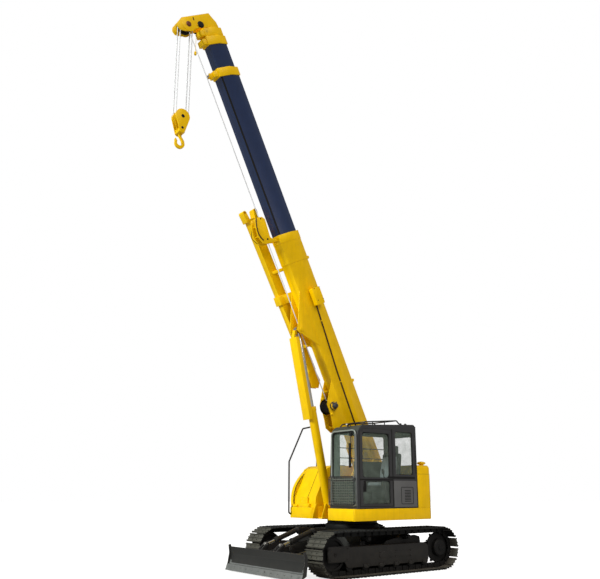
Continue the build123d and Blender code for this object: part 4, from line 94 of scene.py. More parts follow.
class ShaderGroups:
    """Node groups that several finishes share, each built once."""

    def __init__(self) -> None:
        """Start with no group built."""
        self.built: dict[str, bpy.types.NodeTree] = {}

    @staticmethod
    def socket(tree: bpy.types.NodeTree, name: str, kind: str, way: str, default: object = None) -> None:
        """Add a named socket to a group.

        Args:
            tree: the group.
            name: the socket's name.
            kind: Float, Color or Vector.
            way: INPUT or OUTPUT.
            default: value of an input that nothing feeds.
        """
        made = tree.interface.new_socket(name=name, in_out=way, socket_type=f"NodeSocket{kind}")
        if default is not None:
            made.default_value = default

    def weathering(self) -> bpy.types.NodeTree:
        """Paint that fades, chips at its edges and gathers dust low down and on ledges.

        Returns:
            A group that gives the weathered colour, a roughness, a bare-metal mask and a height.
        """
        if "weathering" in self.built:
            return self.built["weathering"]
        tree = bpy.data.node_groups.new("weathering", "ShaderNodeTree")
        for name, kind, default in (
            ("Colour", "Color", (0.8, 0.8, 0.8, 1.0)),
            ("Metal", "Color", (0.35, 0.34, 0.33, 1.0)),
            ("Dust", "Color", (0.30, 0.25, 0.19, 1.0)),
            ("Roughness", "Float", 0.35),
            ("Fade", "Float", 0.2),
            ("Chips", "Float", 0.4),
            ("Dustiness", "Float", 0.3),
            ("Dust Height", "Float", 1.0),
            ("Scale", "Float", 6.0),
        ):
            self.socket(tree, name, kind, "INPUT", default)
        for name, kind in (("Colour", "Color"), ("Roughness", "Float"), ("Bare", "Float"), ("Height", "Float")):
            self.socket(tree, name, kind, "OUTPUT")
        add = NodeBoard(tree)
        given, told = add("NodeGroupInput").outputs, add("NodeGroupOutput")
        spot = add("ShaderNodeTexCoord").outputs["Object"]
        broad = add.noise(spot, given["Scale"], 5.0)
        stretched = add("ShaderNodeMapping", Vector=spot, Scale=(9.0, 9.0, 0.9)).outputs[0]
        streaks = add.noise(stretched, 2.2, 4.0)
        fine = add.noise(spot, 160.0, 3.0)
        # fading: broad patches and rain streaks move the colour a little both ways
        patch, streak = add.ramp(broad, 0.3, 0.7, 0.80, 1.08), add.ramp(streaks, 0.35, 0.7, 1.04, 0.84)
        both = add.grey(add.maths("MULTIPLY", patch, streak))
        faded = add.mix("MULTIPLY", given["Fade"], given["Colour"], both)
        # chips: where a rounded normal leaves the flat one, broken up by noise
        facing = add("ShaderNodeNewGeometry").outputs["Normal"]
        rounded = add("ShaderNodeBevel", Radius=0.006)
        rounded.samples = 3
        edge = add.maths("SUBTRACT", 1.0, add.vectors("DOT_PRODUCT", rounded.outputs[0], facing))
        torn = add.noise(spot, 38.0, 6.0, Roughness=0.7)
        edge = add.maths("MULTIPLY", edge, add.maths("MULTIPLY", torn, 9.0))
        bare = add.ramp(add.maths("MULTIPLY", edge, given["Chips"]), 0.42, 0.62)
        chipped = add.mix("MIX", bare, faded, given["Metal"])
        # dust: thick near the ground and on faces that look up
        low = add.ramp(add("ShaderNodeSeparateXYZ", Vector=spot).outputs["Z"], given["Dust Height"], 0.0)
        ledge = add.ramp(add("ShaderNodeSeparateXYZ", Vector=facing).outputs["Z"], 0.4, 1.0, 0.0, 0.45)
        dust = add.maths("MULTIPLY", add.maths("ADD", low, ledge), add.ramp(broad, 0.35, 0.65, 0.35))
        dust = add.maths("MULTIPLY", dust, given["Dustiness"])
        dust = add.maths("MINIMUM", dust, 0.85)
        dusty = add.mix("MIX", dust, chipped, given["Dust"])
        rough = add.maths("ADD", given["Roughness"], add.maths("MULTIPLY", dust, 0.45))
        rough = add.maths("ADD", rough, add.maths("MULTIPLY", add.maths("SUBTRACT", fine, 0.5), 0.12))
        height = add.maths("SUBTRACT", fine, add.maths("MULTIPLY", bare, 0.8))
        add.wire(told, Colour=dusty, Roughness=rough, Bare=bare, Height=height)
        self.built["weathering"] = tree
        return tree

    def weave(self) -> bpy.types.NodeTree:
        """Cloth of crossing threads.

        Returns:
            A group that gives a thread colour and a height.
        """
        if "weave" in self.built:
            return self.built["weave"]
        tree = bpy.data.node_groups.new("weave", "ShaderNodeTree")
        self.socket(tree, "Colour", "Color", "INPUT", (0.1, 0.1, 0.1, 1.0))
        self.socket(tree, "Thread", "Float", "INPUT", 400.0)
        self.socket(tree, "Colour", "Color", "OUTPUT")
        self.socket(tree, "Height", "Float", "OUTPUT")
        add = NodeBoard(tree)
        given, told = add("NodeGroupInput").outputs, add("NodeGroupOutput")
        spot = add("ShaderNodeTexCoord").outputs["Object"]
        threads = []
        for direction in ("Y", "Z"):
            wave = add("ShaderNodeTexWave", Vector=spot, Scale=given["Thread"])
            wave.bands_direction = direction
            threads.append(wave.outputs["Fac"])
        cross = add.maths("MAXIMUM", *threads)
        worn = add.noise(spot, 9.0, 4.0)
        tone = add.ramp(add.maths("MULTIPLY", cross, worn), 0.0, 1.0, 0.7, 1.5)
        add.wire(told, Colour=add.mix("MULTIPLY", 1.0, given["Colour"], add.grey(tone)), Height=cross)
        self.built["weave"] = tree
        return tree


class NodeBoard:
    """Adds nodes to a tree and joins them in one call."""

    def __init__(self, tree: bpy.types.NodeTree) -> None:
        """Work on the tree of a material or a group."""
        self.tree = tree

    def __call__(self, kind: str, **inputs: object) -> bpy.types.Node:
        """Add a node and feed its inputs.

        Args:
            kind: the node's type.
            inputs: value or output socket for each named input.

        Returns:
            The new node.
        """
        node = self.tree.nodes.new(kind)
        self.wire(node, **inputs)
        return node

    def feed(self, socket: bpy.types.NodeSocket, value: object) -> None:
        """Set an input, or join it to an output.

        Args:
            socket: the input.
            value: a plain value, or the output socket that feeds it.
        """
        if isinstance(value, bpy.types.NodeSocket):
            self.tree.links.new(value, socket)
        else:
            socket.default_value = value

    def wire(self, node: bpy.types.Node, **inputs: object) -> None:
        """Feed named inputs of a node."""
        for name, value in inputs.items():
            self.feed(node.inputs[name], value)

    def maths(self, operation: str, first: object, second: object) -> bpy.types.NodeSocket:
        """Work out two values.

        Args:
            operation: what is done with them.
            first: value or output socket.
            second: value or output socket.

        Returns:
            The socket of the result.
        """
        node = self.tree.nodes.new("ShaderNodeMath")
        node.operation = operation
        self.feed(node.inputs[0], first)
        self.feed(node.inputs[1], second)
        return node.outputs[0]

    def vectors(self, operation: str, first: object, second: object) -> bpy.types.NodeSocket:
        """Work out a number from two vectors.

        Args:
            operation: what is done with them.
            first: vector or output socket.
            second: vector or output socket.

        Returns:
            The socket of the number.
        """
        node = self.tree.nodes.new("ShaderNodeVectorMath")
        node.operation = operation
        self.feed(node.inputs[0], first)
        self.feed(node.inputs[1], second)
        return node.outputs["Value"]

    def mix(self, blend: str, factor: object, first: object, second: object) -> bpy.types.NodeSocket:
        """Mix two colours.

        Args:
            blend: how they are mixed.
            factor: how far, from the first to the second.
            first: colour or output socket.
            second: colour or output socket.

        Returns:
            The socket of the mixed colour.
        """
        node = self.tree.nodes.new("ShaderNodeMix")
        node.data_type = "RGBA"
        node.blend_type = blend
        self.feed(node.inputs["Factor"], factor)
        self.feed(node.inputs[6], first)
        self.feed(node.inputs[7], second)
        return node.outputs[2]

    def ramp(self, value: object, start: object, end: object, low: float = 0.0,
             high: float = 1.0) -> bpy.types.NodeSocket:
        """Socket of a value that is mapped from start and end to low and high, and held there."""
        limits = {"From Min": start, "From Max": end, "To Min": low, "To Max": high}
        return self("ShaderNodeMapRange", Value=value, **limits).outputs[0]

    def noise(self, spot: bpy.types.NodeSocket, scale: object, detail: float,
              **more: float) -> bpy.types.NodeSocket:
        """Socket of a noise between 0 and 1, with a value for each further input."""
        return self("ShaderNodeTexNoise", Vector=spot, Scale=scale, Detail=detail, **more).outputs["Fac"]

    def grey(self, tone: bpy.types.NodeSocket) -> bpy.types.NodeSocket:
        """Grey of a tone."""
        return self("ShaderNodeCombineColor", Red=tone, Green=tone, Blue=tone).outputs[0]

    def end(self, kind: str, shader: bpy.types.NodeSocket) -> None:
        """Close the tree with its output node."""
        self.feed(self(kind).inputs["Surface"], shader)


def blank(name: str) -> tuple[bpy.types.Material, NodeBoard]:
    """New material with an empty tree.

    Args:
        name: the material's name.

    Returns:
        The material and a board for its tree.
    """
    made = bpy.data.materials.new(name)
    made.use_nodes = True
    made.node_tree.nodes.clear()
    return made, NodeBoard(made.node_tree)


GROUPS = ShaderGroups()


@dataclass(frozen=True)
class Finish:
    """A coat of paint or a bare metal with its own wear."""

    name: str
    slot: Slot
    colour: Point
    roughness: float = 0.35
    metallic: float = 0.0
    coat: float = 0.0
    coat_roughness: float = 0.12
    fade: float = 0.3
    chips: float = 0.3
    dustiness: float = 0.2
    dust_height: float = 1.2
    bump: float = 0.05
    gloss: float = 0.5
    metal: Point = (0.30, 0.29, 0.28)

    def material(self) -> bpy.types.Material:
        """The finish as a material, built on first use.

        Returns:
            The material.
        """
        if self.name in bpy.data.materials:
            return bpy.data.materials[self.name]
        made, add = blank(self.name)
        group = add("ShaderNodeGroup")
        group.node_tree = GROUPS.weathering()
        add.wire(group, Colour=(*self.colour, 1.0), Metal=(*self.metal, 1.0), Roughness=self.roughness,
                 Fade=self.fade, Chips=self.chips, Dustiness=self.dustiness)
        group.inputs["Dust Height"].default_value = self.dust_height
        skin = add("ShaderNodeBsdfPrincipled", Roughness=group.outputs["Roughness"],
                   **{"Base Color": group.outputs["Colour"], "Specular IOR Level": self.gloss,
                      "Coat Weight": self.coat, "Coat Roughness": self.coat_roughness})
        if self.metallic:
            skin.inputs["Metallic"].default_value = self.metallic
        elif self.chips:
            add.feed(skin.inputs["Metallic"], group.outputs["Bare"])
        bump = add("ShaderNodeBump", Strength=self.bump, Distance=0.001, Height=group.outputs["Height"])
        add.feed(skin.inputs["Normal"], bump.outputs[0])
        add.end("ShaderNodeOutputMaterial", skin.outputs[0])
        return made


@dataclass(frozen=True)
class GlassFinish:
    """Tinted safety glass, thin and see-through."""

    name: str
    slot: Slot
    colour: Point
    alpha: float = 0.35
    roughness: float = 0.04
    grime: float = 0.10

    def material(self) -> bpy.types.Material:
        """The glass as a material, built on first use.

        Returns:
            The material.
        """
        if self.name in bpy.data.materials:
            return bpy.data.materials[self.name]
        made, add = blank(self.name)
        film = add.noise(add("ShaderNodeTexCoord").outputs["Object"], 7.0, 5.0)
        grime = add.ramp(film, 0.35, 0.75, self.alpha, self.alpha + self.grime)
        smear = add.ramp(film, 0.3, 0.8, self.roughness, self.roughness + self.grime)
        skin = add("ShaderNodeBsdfPrincipled", Roughness=smear, Alpha=grime,
                   **{"Base Color": (*self.colour, 1.0)})
        add.end("ShaderNodeOutputMaterial", skin.outputs[0])
        return made


@dataclass(frozen=True)
class ClothFinish:
    """Woven seat cloth."""

    name: str
    slot: Slot
    colour: Point
    thread: float = 420.0

    def material(self) -> bpy.types.Material:
        """The cloth as a material, built on first use.

        Returns:
            The material.
        """
        if self.name in bpy.data.materials:
            return bpy.data.materials[self.name]
        made, add = blank(self.name)
        group = add("ShaderNodeGroup")
        group.node_tree = GROUPS.weave()
        add.wire(group, Colour=(*self.colour, 1.0), Thread=self.thread)
        bump = add("ShaderNodeBump", Strength=0.5, Distance=0.001, Height=group.outputs["Height"])
        skin = add("ShaderNodeBsdfPrincipled", **{"Base Color": group.outputs["Colour"], "Roughness": 0.85,
                                                  "Normal": bump.outputs[0], "Sheen Weight": 0.3})
        add.end("ShaderNodeOutputMaterial", skin.outputs[0])
        return made


YELLOW = Finish("yellow_paint_coat", Slot.YELLOW, (0.93, 0.57, 0.0), roughness=0.36, coat=0.03, chips=0.25,
                dustiness=0.03, fade=0.35, gloss=0.13, metal=(0.20, 0.13, 0.06))
NAVY = Finish("navy_paint_coat", Slot.NAVY, (0.009, 0.024, 0.082), roughness=0.30, coat=0.06, chips=0.12,
              dustiness=0.0, fade=0.5, gloss=0.4)
DARK = Finish("dark_paint_coat", Slot.DARK, (0.009, 0.0085, 0.008), roughness=0.55, chips=0.2, dustiness=0.06,
              dust_height=0.7, gloss=0.3)
BLADE = Finish("blade_paint_coat", Slot.DARK, (0.011, 0.011, 0.0105), roughness=0.45, chips=0.5, dustiness=0.05,
               dust_height=0.3, fade=0.6, gloss=0.4)
# cutting-edge steel: lighter partly from wear, partly as painted highlight for the lit lower curve of the blade
EDGE = Finish("worn_edge_steel", Slot.TRACK, (0.13, 0.135, 0.135), roughness=0.40, chips=0.3, dustiness=0.05,
              dust_height=0.2, fade=0.8, bump=0.2, gloss=0.6)
BLACK = Finish("black_paint_coat", Slot.BLACK, (0.008, 0.008, 0.009), roughness=0.38, coat=0.1, chips=0.15,
               dustiness=0.03)
CAB_GREY = Finish("cab_grey_coat", Slot.DARK, (0.105, 0.107, 0.108), roughness=0.42, coat=0.05, chips=0.08,
                  dustiness=0.04, gloss=0.35)
CAB_FRAME = Finish("cab_frame_coat", Slot.DARK, (0.028, 0.028, 0.030), roughness=0.40, coat=0.1, chips=0.08,
                   dustiness=0.04, gloss=0.4)
FRAME_GREY = Finish("front_frame_coat", Slot.DARK, (0.24, 0.26, 0.235), roughness=0.42, coat=0.05, chips=0.06,
                    dustiness=0.02, gloss=0.35)
MESH = Finish("guard_mesh_coat", Slot.BLACK, (0.115, 0.12, 0.10), roughness=0.45, chips=0.1, dustiness=0.05,
              gloss=0.4)
LINING = Finish("cab_lining", Slot.PLASTIC, (0.045, 0.050, 0.042), roughness=0.75, chips=0.0, dustiness=0.05,
                gloss=0.3)
RUBBER = Finish("rubber_seal", Slot.BLACK, (0.006, 0.006, 0.006), roughness=0.75, chips=0.0, dustiness=0.05,
                gloss=0.25)
SHOES = Finish("track_shoe_steel", Slot.TRACK, (0.066, 0.064, 0.054), roughness=0.55, chips=0.9, dustiness=0.12,
               dust_height=0.9, bump=0.2, fade=0.8, gloss=0.3, metal=(0.10, 0.095, 0.09))
RUNNING = Finish("running_gear_steel", Slot.TRACK, (0.0055, 0.0055, 0.0055), roughness=0.6, chips=0.2,
                 dustiness=0.015, dust_height=0.4, bump=0.2, gloss=0.2, metal=(0.05, 0.05, 0.05))
STEEL = Finish("bright_steel_bare", Slot.BRIGHT, (0.42, 0.42, 0.43), roughness=0.32, metallic=1.0, chips=0.0,
               dustiness=0.1)
CHROME = Finish("chromed_rod", Slot.CHROME, (0.66, 0.64, 0.58), roughness=0.18, metallic=1.0, chips=0.0,
                dustiness=0.0, fade=0.1, bump=0.01)
RUST = Finish("rusted_steel", Slot.TRACK, (0.16, 0.045, 0.018), roughness=0.7, chips=0.4, dustiness=0.05,
              bump=0.3, gloss=0.25)
HOSE = Finish("weathered_hose", Slot.BLACK, (0.030, 0.009, 0.004), roughness=0.6, chips=0.0, dustiness=0.02,
              gloss=0.3)
ROPE = Finish("galvanised_rope", Slot.ROPE, (0.74, 0.75, 0.78), roughness=0.5, metallic=0.05, chips=0.0,
              dustiness=0.0, bump=0.2)
PLASTIC = Finish("moulded_plastic", Slot.PLASTIC, (0.022, 0.022, 0.024), roughness=0.6, chips=0.0,
                 dustiness=0.1, bump=0.25, gloss=0.3)
IRON = Finish("engine_casting", Slot.IRON, (0.03, 0.03, 0.032), roughness=0.65, chips=0.3, dustiness=0.3,
              bump=0.4)
LENS = Finish("lamp_lens", Slot.GLASS, (0.55, 0.55, 0.50), roughness=0.12, coat=0.5, chips=0.0, dustiness=0.05)
GLASS = GlassFinish("cab_safety_glass", Slot.GLASS, (0.28, 0.36, 0.30), alpha=0.11)
CLOTH = ClothFinish("seat_cloth", Slot.FABRIC, (0.15, 0.185, 0.20))
AnyFinish = Finish | GlassFinish | ClothFinish


# -------- bench
UPRIGHT = Matrix.Identity(4)
AXES = {"x": Vector((1, 0, 0)), "y": Vector((0, 1, 0)), "z": Vector((0, 0, 1))}
SIDES = (("left", 1), ("right", -1))


def mirrored(profile: list[Pair], sign: int) -> list[Pair]:
    """Turned profile for one side of the machine: 1 keeps it, -1 turns it round."""
    return [(sign * place, radius) for place, radius in profile]


@contextmanager
def editing(everything: bool = True) -> Iterator[None]:
    """Work on the active piece in edit mode.

    Args:
        everything: whether all of it is selected first.

    Yields:
        Nothing, in edit mode.
    """
    bpy.ops.object.mode_set(mode="EDIT")
    if everything:
        bpy.ops.mesh.select_all(action="SELECT")
    yield
    bpy.ops.object.mode_set(mode="OBJECT")


class Bench:
    """Modelling work that every piece goes through."""

    merge = 0.00002         # points nearer than this are one
    flat = 1.0              # triangles that meet at less than this are one face, in degrees

    @staticmethod
    def only(*pieces: Piece) -> None:
        """Select these pieces alone, the first of them active."""
        bpy.ops.object.select_all(action="DESELECT")
        for piece in pieces:
            piece.select_set(True)
        bpy.context.view_layer.objects.active = pieces[0]

    @classmethod
    def place(cls, piece: Piece, name: str, where: Matrix) -> Piece:
        """Name a new piece, stand it in its frame and put that place into its mesh.

        Args:
            piece: the piece, as it was made.
            name: its name.
            where: the frame that it was made in.

        Returns:
            The piece.
        """
        piece.name = name
        piece.data.name = name
        cls.only(piece)
        bpy.ops.object.transform_apply(location=True, rotation=True, scale=True)
        piece.data.transform(where)
        return piece

    @classmethod
    def modify(cls, piece: Piece, kind: str, **settings: object) -> None:
        """Add a modifier with its settings and apply it.

        Args:
            piece: the piece.
            kind: the modifier's type.
            settings: a value for each setting.
        """
        cls.only(piece)
        bpy.ops.object.modifier_add(type=kind)
        modifier = piece.modifiers[-1]
        for key, value in settings.items():
            setattr(modifier, key, value)
        bpy.ops.object.modifier_apply(modifier=modifier.name)

    @classmethod
    def soften(cls, piece: Piece, width: float, steps: int = 2, angle: float = 35.0) -> Piece:
        """Round a piece's sharp edges and smooth what is left.

        Args:
            piece: the piece.
            width: radius of the rounded edges, or 0 for none.
            steps: faces across each rounded edge.
            angle: edges sharper than this are rounded, in degrees.

        Returns:
            The piece.
        """
        if width:
            cls.modify(piece, "BEVEL", width=width, segments=steps, limit_method="ANGLE",
                       angle_limit=math.radians(angle), use_clamp_overlap=True, harden_normals=False)
        cls.only(piece)
        bpy.ops.object.shade_smooth_by_angle(angle=math.radians(angle))
        return piece

    @classmethod
    def box(cls, name: str, low: Point, high: Point, where: Matrix = UPRIGHT, edge: float = 0.004) -> Piece:
        """Block between two corners.

        Args:
            name: the piece's name.
            low: its least corner.
            high: its greatest corner.
            where: frame that the corners are given in.
            edge: radius of the rounded edges.

        Returns:
            The block.
        """
        low, high = Vector(low), Vector(high)
        bpy.ops.mesh.primitive_cube_add(size=1, location=(low + high) / 2, scale=high - low)
        piece = cls.place(bpy.context.active_object, name, where)
        return cls.soften(piece, edge)

    @classmethod
    def plate(cls, name: str, outline: list[Pair], low: float, high: float, across: str = "y",
              where: Matrix = UPRIGHT, edge: float = 0.003) -> Piece:
        """Plate of any outline, extruded from one side to the other.

        Args:
            name: the piece's name.
            outline: corners in the plane square to the extrusion, in the order of the other two axes.
            low: where the extrusion starts.
            high: where it ends.
            across: the axis that the thickness lies along.
            where: frame that the corners are given in.
            edge: radius of the rounded edges.

        Returns:
            The plate.
        """
        bpy.ops.mesh.primitive_circle_add(vertices=len(outline), radius=1, fill_type="NGON")
        piece = bpy.context.active_object
        spread = {"x": lambda a, b: (low, a, b), "y": lambda a, b: (a, low, b), "z": lambda a, b: (a, b, low)}
        for vertex, (a, b) in zip(piece.data.vertices, outline):
            vertex.co = spread[across](a, b)
        with editing():
            bpy.ops.mesh.extrude_region_move(TRANSFORM_OT_translate={"value": AXES[across] * (high - low)})
            bpy.ops.mesh.select_all(action="SELECT")
            bpy.ops.mesh.normals_make_consistent(inside=False)
        return cls.soften(cls.place(piece, name, where), edge)

    @classmethod
    def lathe(cls, name: str, profile: list[Pair], centre: Point, axis: str = "y", where: Matrix = UPRIGHT,
              steps: int = 32, edge: float = 0.0) -> Piece:
        """Turned piece.

        Args:
            name: the piece's name.
            profile: places along the axis and radii there. It is closed on itself unless both ends
                lie on the axis.
            centre: where the axis' zero is.
            axis: the axis of the turning.
            where: frame that the centre is given in.
            steps: faces round the piece.
            edge: radius of the rounded edges.

        Returns:
            The turned piece.
        """
        bpy.ops.mesh.primitive_circle_add(vertices=len(profile), radius=1, fill_type="NOTHING")
        piece = bpy.context.active_object
        spread = {"x": lambda a, r: (a, 0, r), "y": lambda a, r: (r, a, 0), "z": lambda a, r: (r, 0, a)}
        for vertex, (a, r) in zip(piece.data.vertices, profile):
            vertex.co = Vector(centre) + Vector(spread[axis](a, r))
        if profile[0][1] == 0 and profile[-1][1] == 0:
            cls.drop_closing_edge(piece, len(profile) - 1)
        with editing():
            bpy.ops.mesh.spin(steps=steps, angle=2 * math.pi, center=centre, axis=AXES[axis])
            bpy.ops.mesh.select_all(action="SELECT")
            bpy.ops.mesh.remove_doubles(threshold=cls.merge)
            bpy.ops.mesh.normals_make_consistent(inside=False)
        return cls.soften(cls.place(piece, name, where), edge, angle=30.0)

    @staticmethod
    def drop_closing_edge(piece: Piece, last: int) -> None:
        """Take away the edge that closes an open profile on itself.

        Args:
            piece: the profile.
            last: its last vertex.
        """
        with editing(everything=False):
            bpy.ops.mesh.select_mode(type="EDGE")
            bpy.ops.mesh.select_all(action="DESELECT")
        for line in piece.data.edges:
            line.select = set(line.vertices) == {0, last}
        with editing(everything=False):
            bpy.ops.mesh.delete(type="EDGE")

    @classmethod
    def rod(cls, name: str, start: Point, end: Point, radius: float, where: Matrix = UPRIGHT, sides: int = 20,
            edge: float = 0.002) -> Piece:
        """Round bar between two points.

        Args:
            name: the piece's name.
            start: the middle of one end.
            end: the middle of the other.
            radius: the bar's radius.
            where: frame that the points are given in.
            sides: faces round the bar.
            edge: width of the chamfered ends.

        Returns:
            The bar.
        """
        start, end = Vector(start), Vector(end)
        run = end - start
        turn = run.to_track_quat("Z", "Y").to_euler()
        bpy.ops.mesh.primitive_cylinder_add(vertices=sides, radius=radius, depth=run.length,
                                            location=(start + end) / 2, rotation=turn)
        piece = cls.place(bpy.context.active_object, name, where)
        return cls.soften(piece, edge, steps=1, angle=50.0)

    @classmethod
    def pipe(cls, name: str, points: list[Point], radius: float, where: Matrix = UPRIGHT, sides: int = 3,
             steps: int = 6, smooth: bool = True, closed: bool = False) -> Piece:
        """Tube along a route, smooth or with straight runs.

        Args:
            name: the piece's name.
            points: the route.
            radius: the tube's radius.
            where: frame that the route is given in.
            sides: bevel resolution of the round section.
            steps: points made between two points of the route.
            smooth: whether the route bends smoothly at its points.
            closed: whether the route ends where it starts.

        Returns:
            The tube as a mesh.
        """
        line = bpy.data.curves.new(name, "CURVE")
        line.dimensions = "3D"
        line.bevel_depth = radius
        line.bevel_resolution = sides
        line.resolution_u = steps
        line.use_fill_caps = True
        run = line.splines.new("NURBS" if smooth else "POLY")
        run.points.add(len(points) - 1)
        for point, at in zip(run.points, points):
            point.co = (*at, 1.0)
        if smooth:
            run.order_u = 3
            run.use_endpoint_u = True
        run.use_cyclic_u = closed
        piece = bpy.data.objects.new(name, line)
        bpy.context.scene.collection.objects.link(piece)
        cls.only(piece)
        bpy.ops.object.convert(target="MESH")
        piece = bpy.context.active_object
        with editing():
            bpy.ops.mesh.remove_doubles(threshold=cls.merge)
            bpy.ops.mesh.normals_make_consistent(inside=False)
        return cls.soften(cls.place(piece, name, where), 0.0)

    @staticmethod
    def rounded(points: list[Point], radius: float) -> list[Point]:
        """Route whose inner corners are bends, for a smooth pipe.

        Args:
            points: the route's corners.
            radius: about the bends' radius.

        Returns:
            The route with points before and after each inner corner.
        """
        route = [points[0]]
        for before, corner, after in zip(points, points[1:], points[2:]):
            corner = Vector(corner)
            for other in (before, after):
                away = Vector(other) - corner
                reach = min(2 * radius, 0.45 * away.length)
                route.append(tuple(corner + away.normalized() * reach))
            route.insert(-1, tuple(corner))
        route.append(points[-1])
        return route

    @classmethod
    def repeat(cls, name: str, piece: Piece, places: list[Matrix]) -> Piece:
        """One piece of many copies, each stood at its own place.

        Args:
            name: the joined piece's name.
            piece: the model, which is used up.
            places: where each copy goes.

        Returns:
            The copies, joined.
        """
        copies = []
        for where in places:
            copy = piece.copy()
            copy.data = piece.data.copy()
            copy.data.transform(where)
            bpy.context.scene.collection.objects.link(copy)
            copies.append(copy)
        bpy.data.objects.remove(piece)
        return cls.join(name, copies)

    @classmethod
    def join(cls, name: str, pieces: list[Piece]) -> Piece:
        """Several solids as one piece.

        Args:
            name: the piece's name.
            pieces: the solids, which are used up.

        Returns:
            The piece.
        """
        cls.only(*pieces)
        if len(pieces) > 1:
            bpy.ops.object.join()
        piece = pieces[0]
        piece.name = name
        piece.data.name = name
        return piece

    @classmethod
    def bolt(cls, name: str, size: float, head: float) -> Piece:
        """Hexagon bolt head with a sunk top, standing on the origin along +Z.

        Args:
            name: the piece's name.
            size: radius over its corners.
            head: its height.

        Returns:
            The bolt head.
        """
        bpy.ops.mesh.primitive_cylinder_add(vertices=6, radius=size, depth=head, location=(0, 0, head / 2))
        piece = cls.place(bpy.context.active_object, name, UPRIGHT)
        with editing(everything=False):
            bpy.ops.mesh.select_mode(type="FACE")
            bpy.ops.mesh.select_all(action="DESELECT")
        for face in piece.data.polygons:
            face.select = face.normal.z > 0.9
        with editing(everything=False):
            bpy.ops.mesh.inset(thickness=size * 0.18, depth=head * 0.15)
        return piece

    @classmethod
    def bolts(cls, name: str, at: list[Point], facing: Point, size: float = 0.012,
              where: Matrix = UPRIGHT) -> Piece:
        """Bolt heads at several places, all facing one way.

        Args:
            name: the piece's name.
            at: the places.
            facing: the way that they face.
            size: radius over their corners.
            where: frame that the places are given in.

        Returns:
            The bolt heads as one piece.
        """
        turn = Vector(facing).to_track_quat("Z", "Y").to_matrix().to_4x4()
        model = cls.bolt(name, size, size * 0.8)
        return cls.repeat(name, model, [where @ Matrix.Translation(p) @ turn for p in at])

    @classmethod
    def from_node(cls, node: str, width: float = 0.004, steps: int = 2, angle: float = 32.0) -> Piece:
        """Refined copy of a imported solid: its triangles merged into faces and its edges rounded.

        Args:
            node: the solid's node.
            width: radius of the rounded edges.
            steps: faces across each rounded edge.
            angle: edges sharper than this are rounded, in degrees.

        Returns:
            The copy, which stands for the node.
        """
        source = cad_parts[node]
        mesh = source.data.copy()
        mesh.materials.clear()
        piece = bpy.data.objects.new(f"{node}_skin", mesh)
        mesh.name = piece.name
        bpy.context.scene.collection.objects.link(piece)
        cls.only(piece)
        if mesh.has_custom_normals:
            bpy.ops.mesh.customdata_custom_splitnormals_clear()
        with editing():
            bpy.ops.mesh.remove_doubles(threshold=cls.merge)
            bpy.ops.mesh.dissolve_limited(angle_limit=math.radians(cls.flat))
        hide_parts(node)
        return cls.soften(piece, width, steps, angle)

    @staticmethod
    def touch(node: str, start: Point, towards: Point) -> tuple[Vector, Vector]:
        """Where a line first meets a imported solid.

        Args:
            node: the solid's node.
            start: a point outside the solid.
            towards: the line's direction.

        Returns:
            The point on its surface and the surface's normal there.
        """
        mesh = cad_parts[node].data
        corners, faces = [corner.co for corner in mesh.vertices], [face.vertices[:] for face in mesh.polygons]
        tree = BVHTree.FromPolygons(corners, faces)
        spot, normal, _, _ = tree.ray_cast(Vector(start), Vector(towards))
        if spot is None:
            raise ValueError(f"nothing of {node} on the line from {start}")
        return spot, normal

    @classmethod
    def score(cls, piece: Piece, spot: Vector, normal: Vector) -> None:
        """Cut a piece's faces along a plane without changing its shape.

        Args:
            piece: the piece, at the origin.
            spot: a point of the plane.
            normal: the plane's direction.
        """
        cls.only(piece)
        with editing():
            bpy.ops.mesh.bisect(plane_co=spot, plane_no=normal)

    @staticmethod
    def paint(piece: Piece, finish: AnyFinish, chosen: Callable[[Vector, Vector], bool]) -> Piece:
        """Give some of a piece's faces a second finish.

        Args:
            piece: a dressed piece.
            finish: the second finish.
            chosen: told a face's middle and its normal, says whether it gets the finish.

        Returns:
            The piece.
        """
        piece.data.materials.append(finish.material())
        second = len(piece.data.materials) - 1
        for face in piece.data.polygons:
            if chosen(face.center, face.normal):
                face.material_index = second
        return piece

    @classmethod
    def seal(cls, name: str, centre: Point, size: Pair, corner: float, radius: float, where: Matrix) -> Piece:
        """Closed round-section frame about a rectangle with rounded corners.

        Args:
            name: the piece's name.
            centre: its middle in the frame.
            size: its length along the frame's x and its height along z.
            corner: the rectangle's corner radius.
            radius: the section's radius.
            where: frame in whose x-z plane the rectangle lies.

        Returns:
            The frame.
        """
        half_x, half_z = size[0] / 2 - corner, size[1] / 2 - corner
        points = []
        for turn, (side, up) in enumerate(((1, 1), (-1, 1), (-1, -1), (1, -1))):
            for step in range(5):
                angle = (turn + step / 4) * math.pi / 2
                points.append((centre[0] + side * half_x + corner * math.cos(angle), centre[1],
                               centre[2] + up * half_z + corner * math.sin(angle)))
        return cls.pipe(name, points, radius, where, sides=1, smooth=False, closed=True)

    @classmethod
    def fit(cls, name: str, pieces: list[Piece], body: str, finish: AnyFinish) -> Piece:
        """Join solids and dress them as one piece."""
        return cls.dress(cls.join(name, pieces), body, finish)

    @staticmethod
    def dress(piece: Piece, body: str, finish: AnyFinish) -> Piece:
        """Give a piece its finish and the body that it moves with.

        Args:
            piece: the piece.
            body: the body.
            finish: the finish.

        Returns:
            The piece.
        """
        piece.data.materials.clear()
        piece.data.materials.append(finish.material())
        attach(piece, body)
        return piece


# -------- frames
@dataclass(frozen=True)
class BoomFrame:
    """The boom's own frame: x along it, y to its left, z towards its top."""

    foot: Point = (-0.600, -0.100, 2.060)
    angle: float = math.radians(64.3)

    def matrix(self) -> Matrix:
        """Matrix from boom coordinates to the machine's."""
        c, s = math.cos(self.angle), math.sin(self.angle)
        turn = Matrix(((c, 0, -s, 0), (0, 1, 0, 0), (s, 0, c, 0), (0, 0, 0, 1)))
        return Matrix.Translation(self.foot) @ turn


BOOM = BoomFrame()


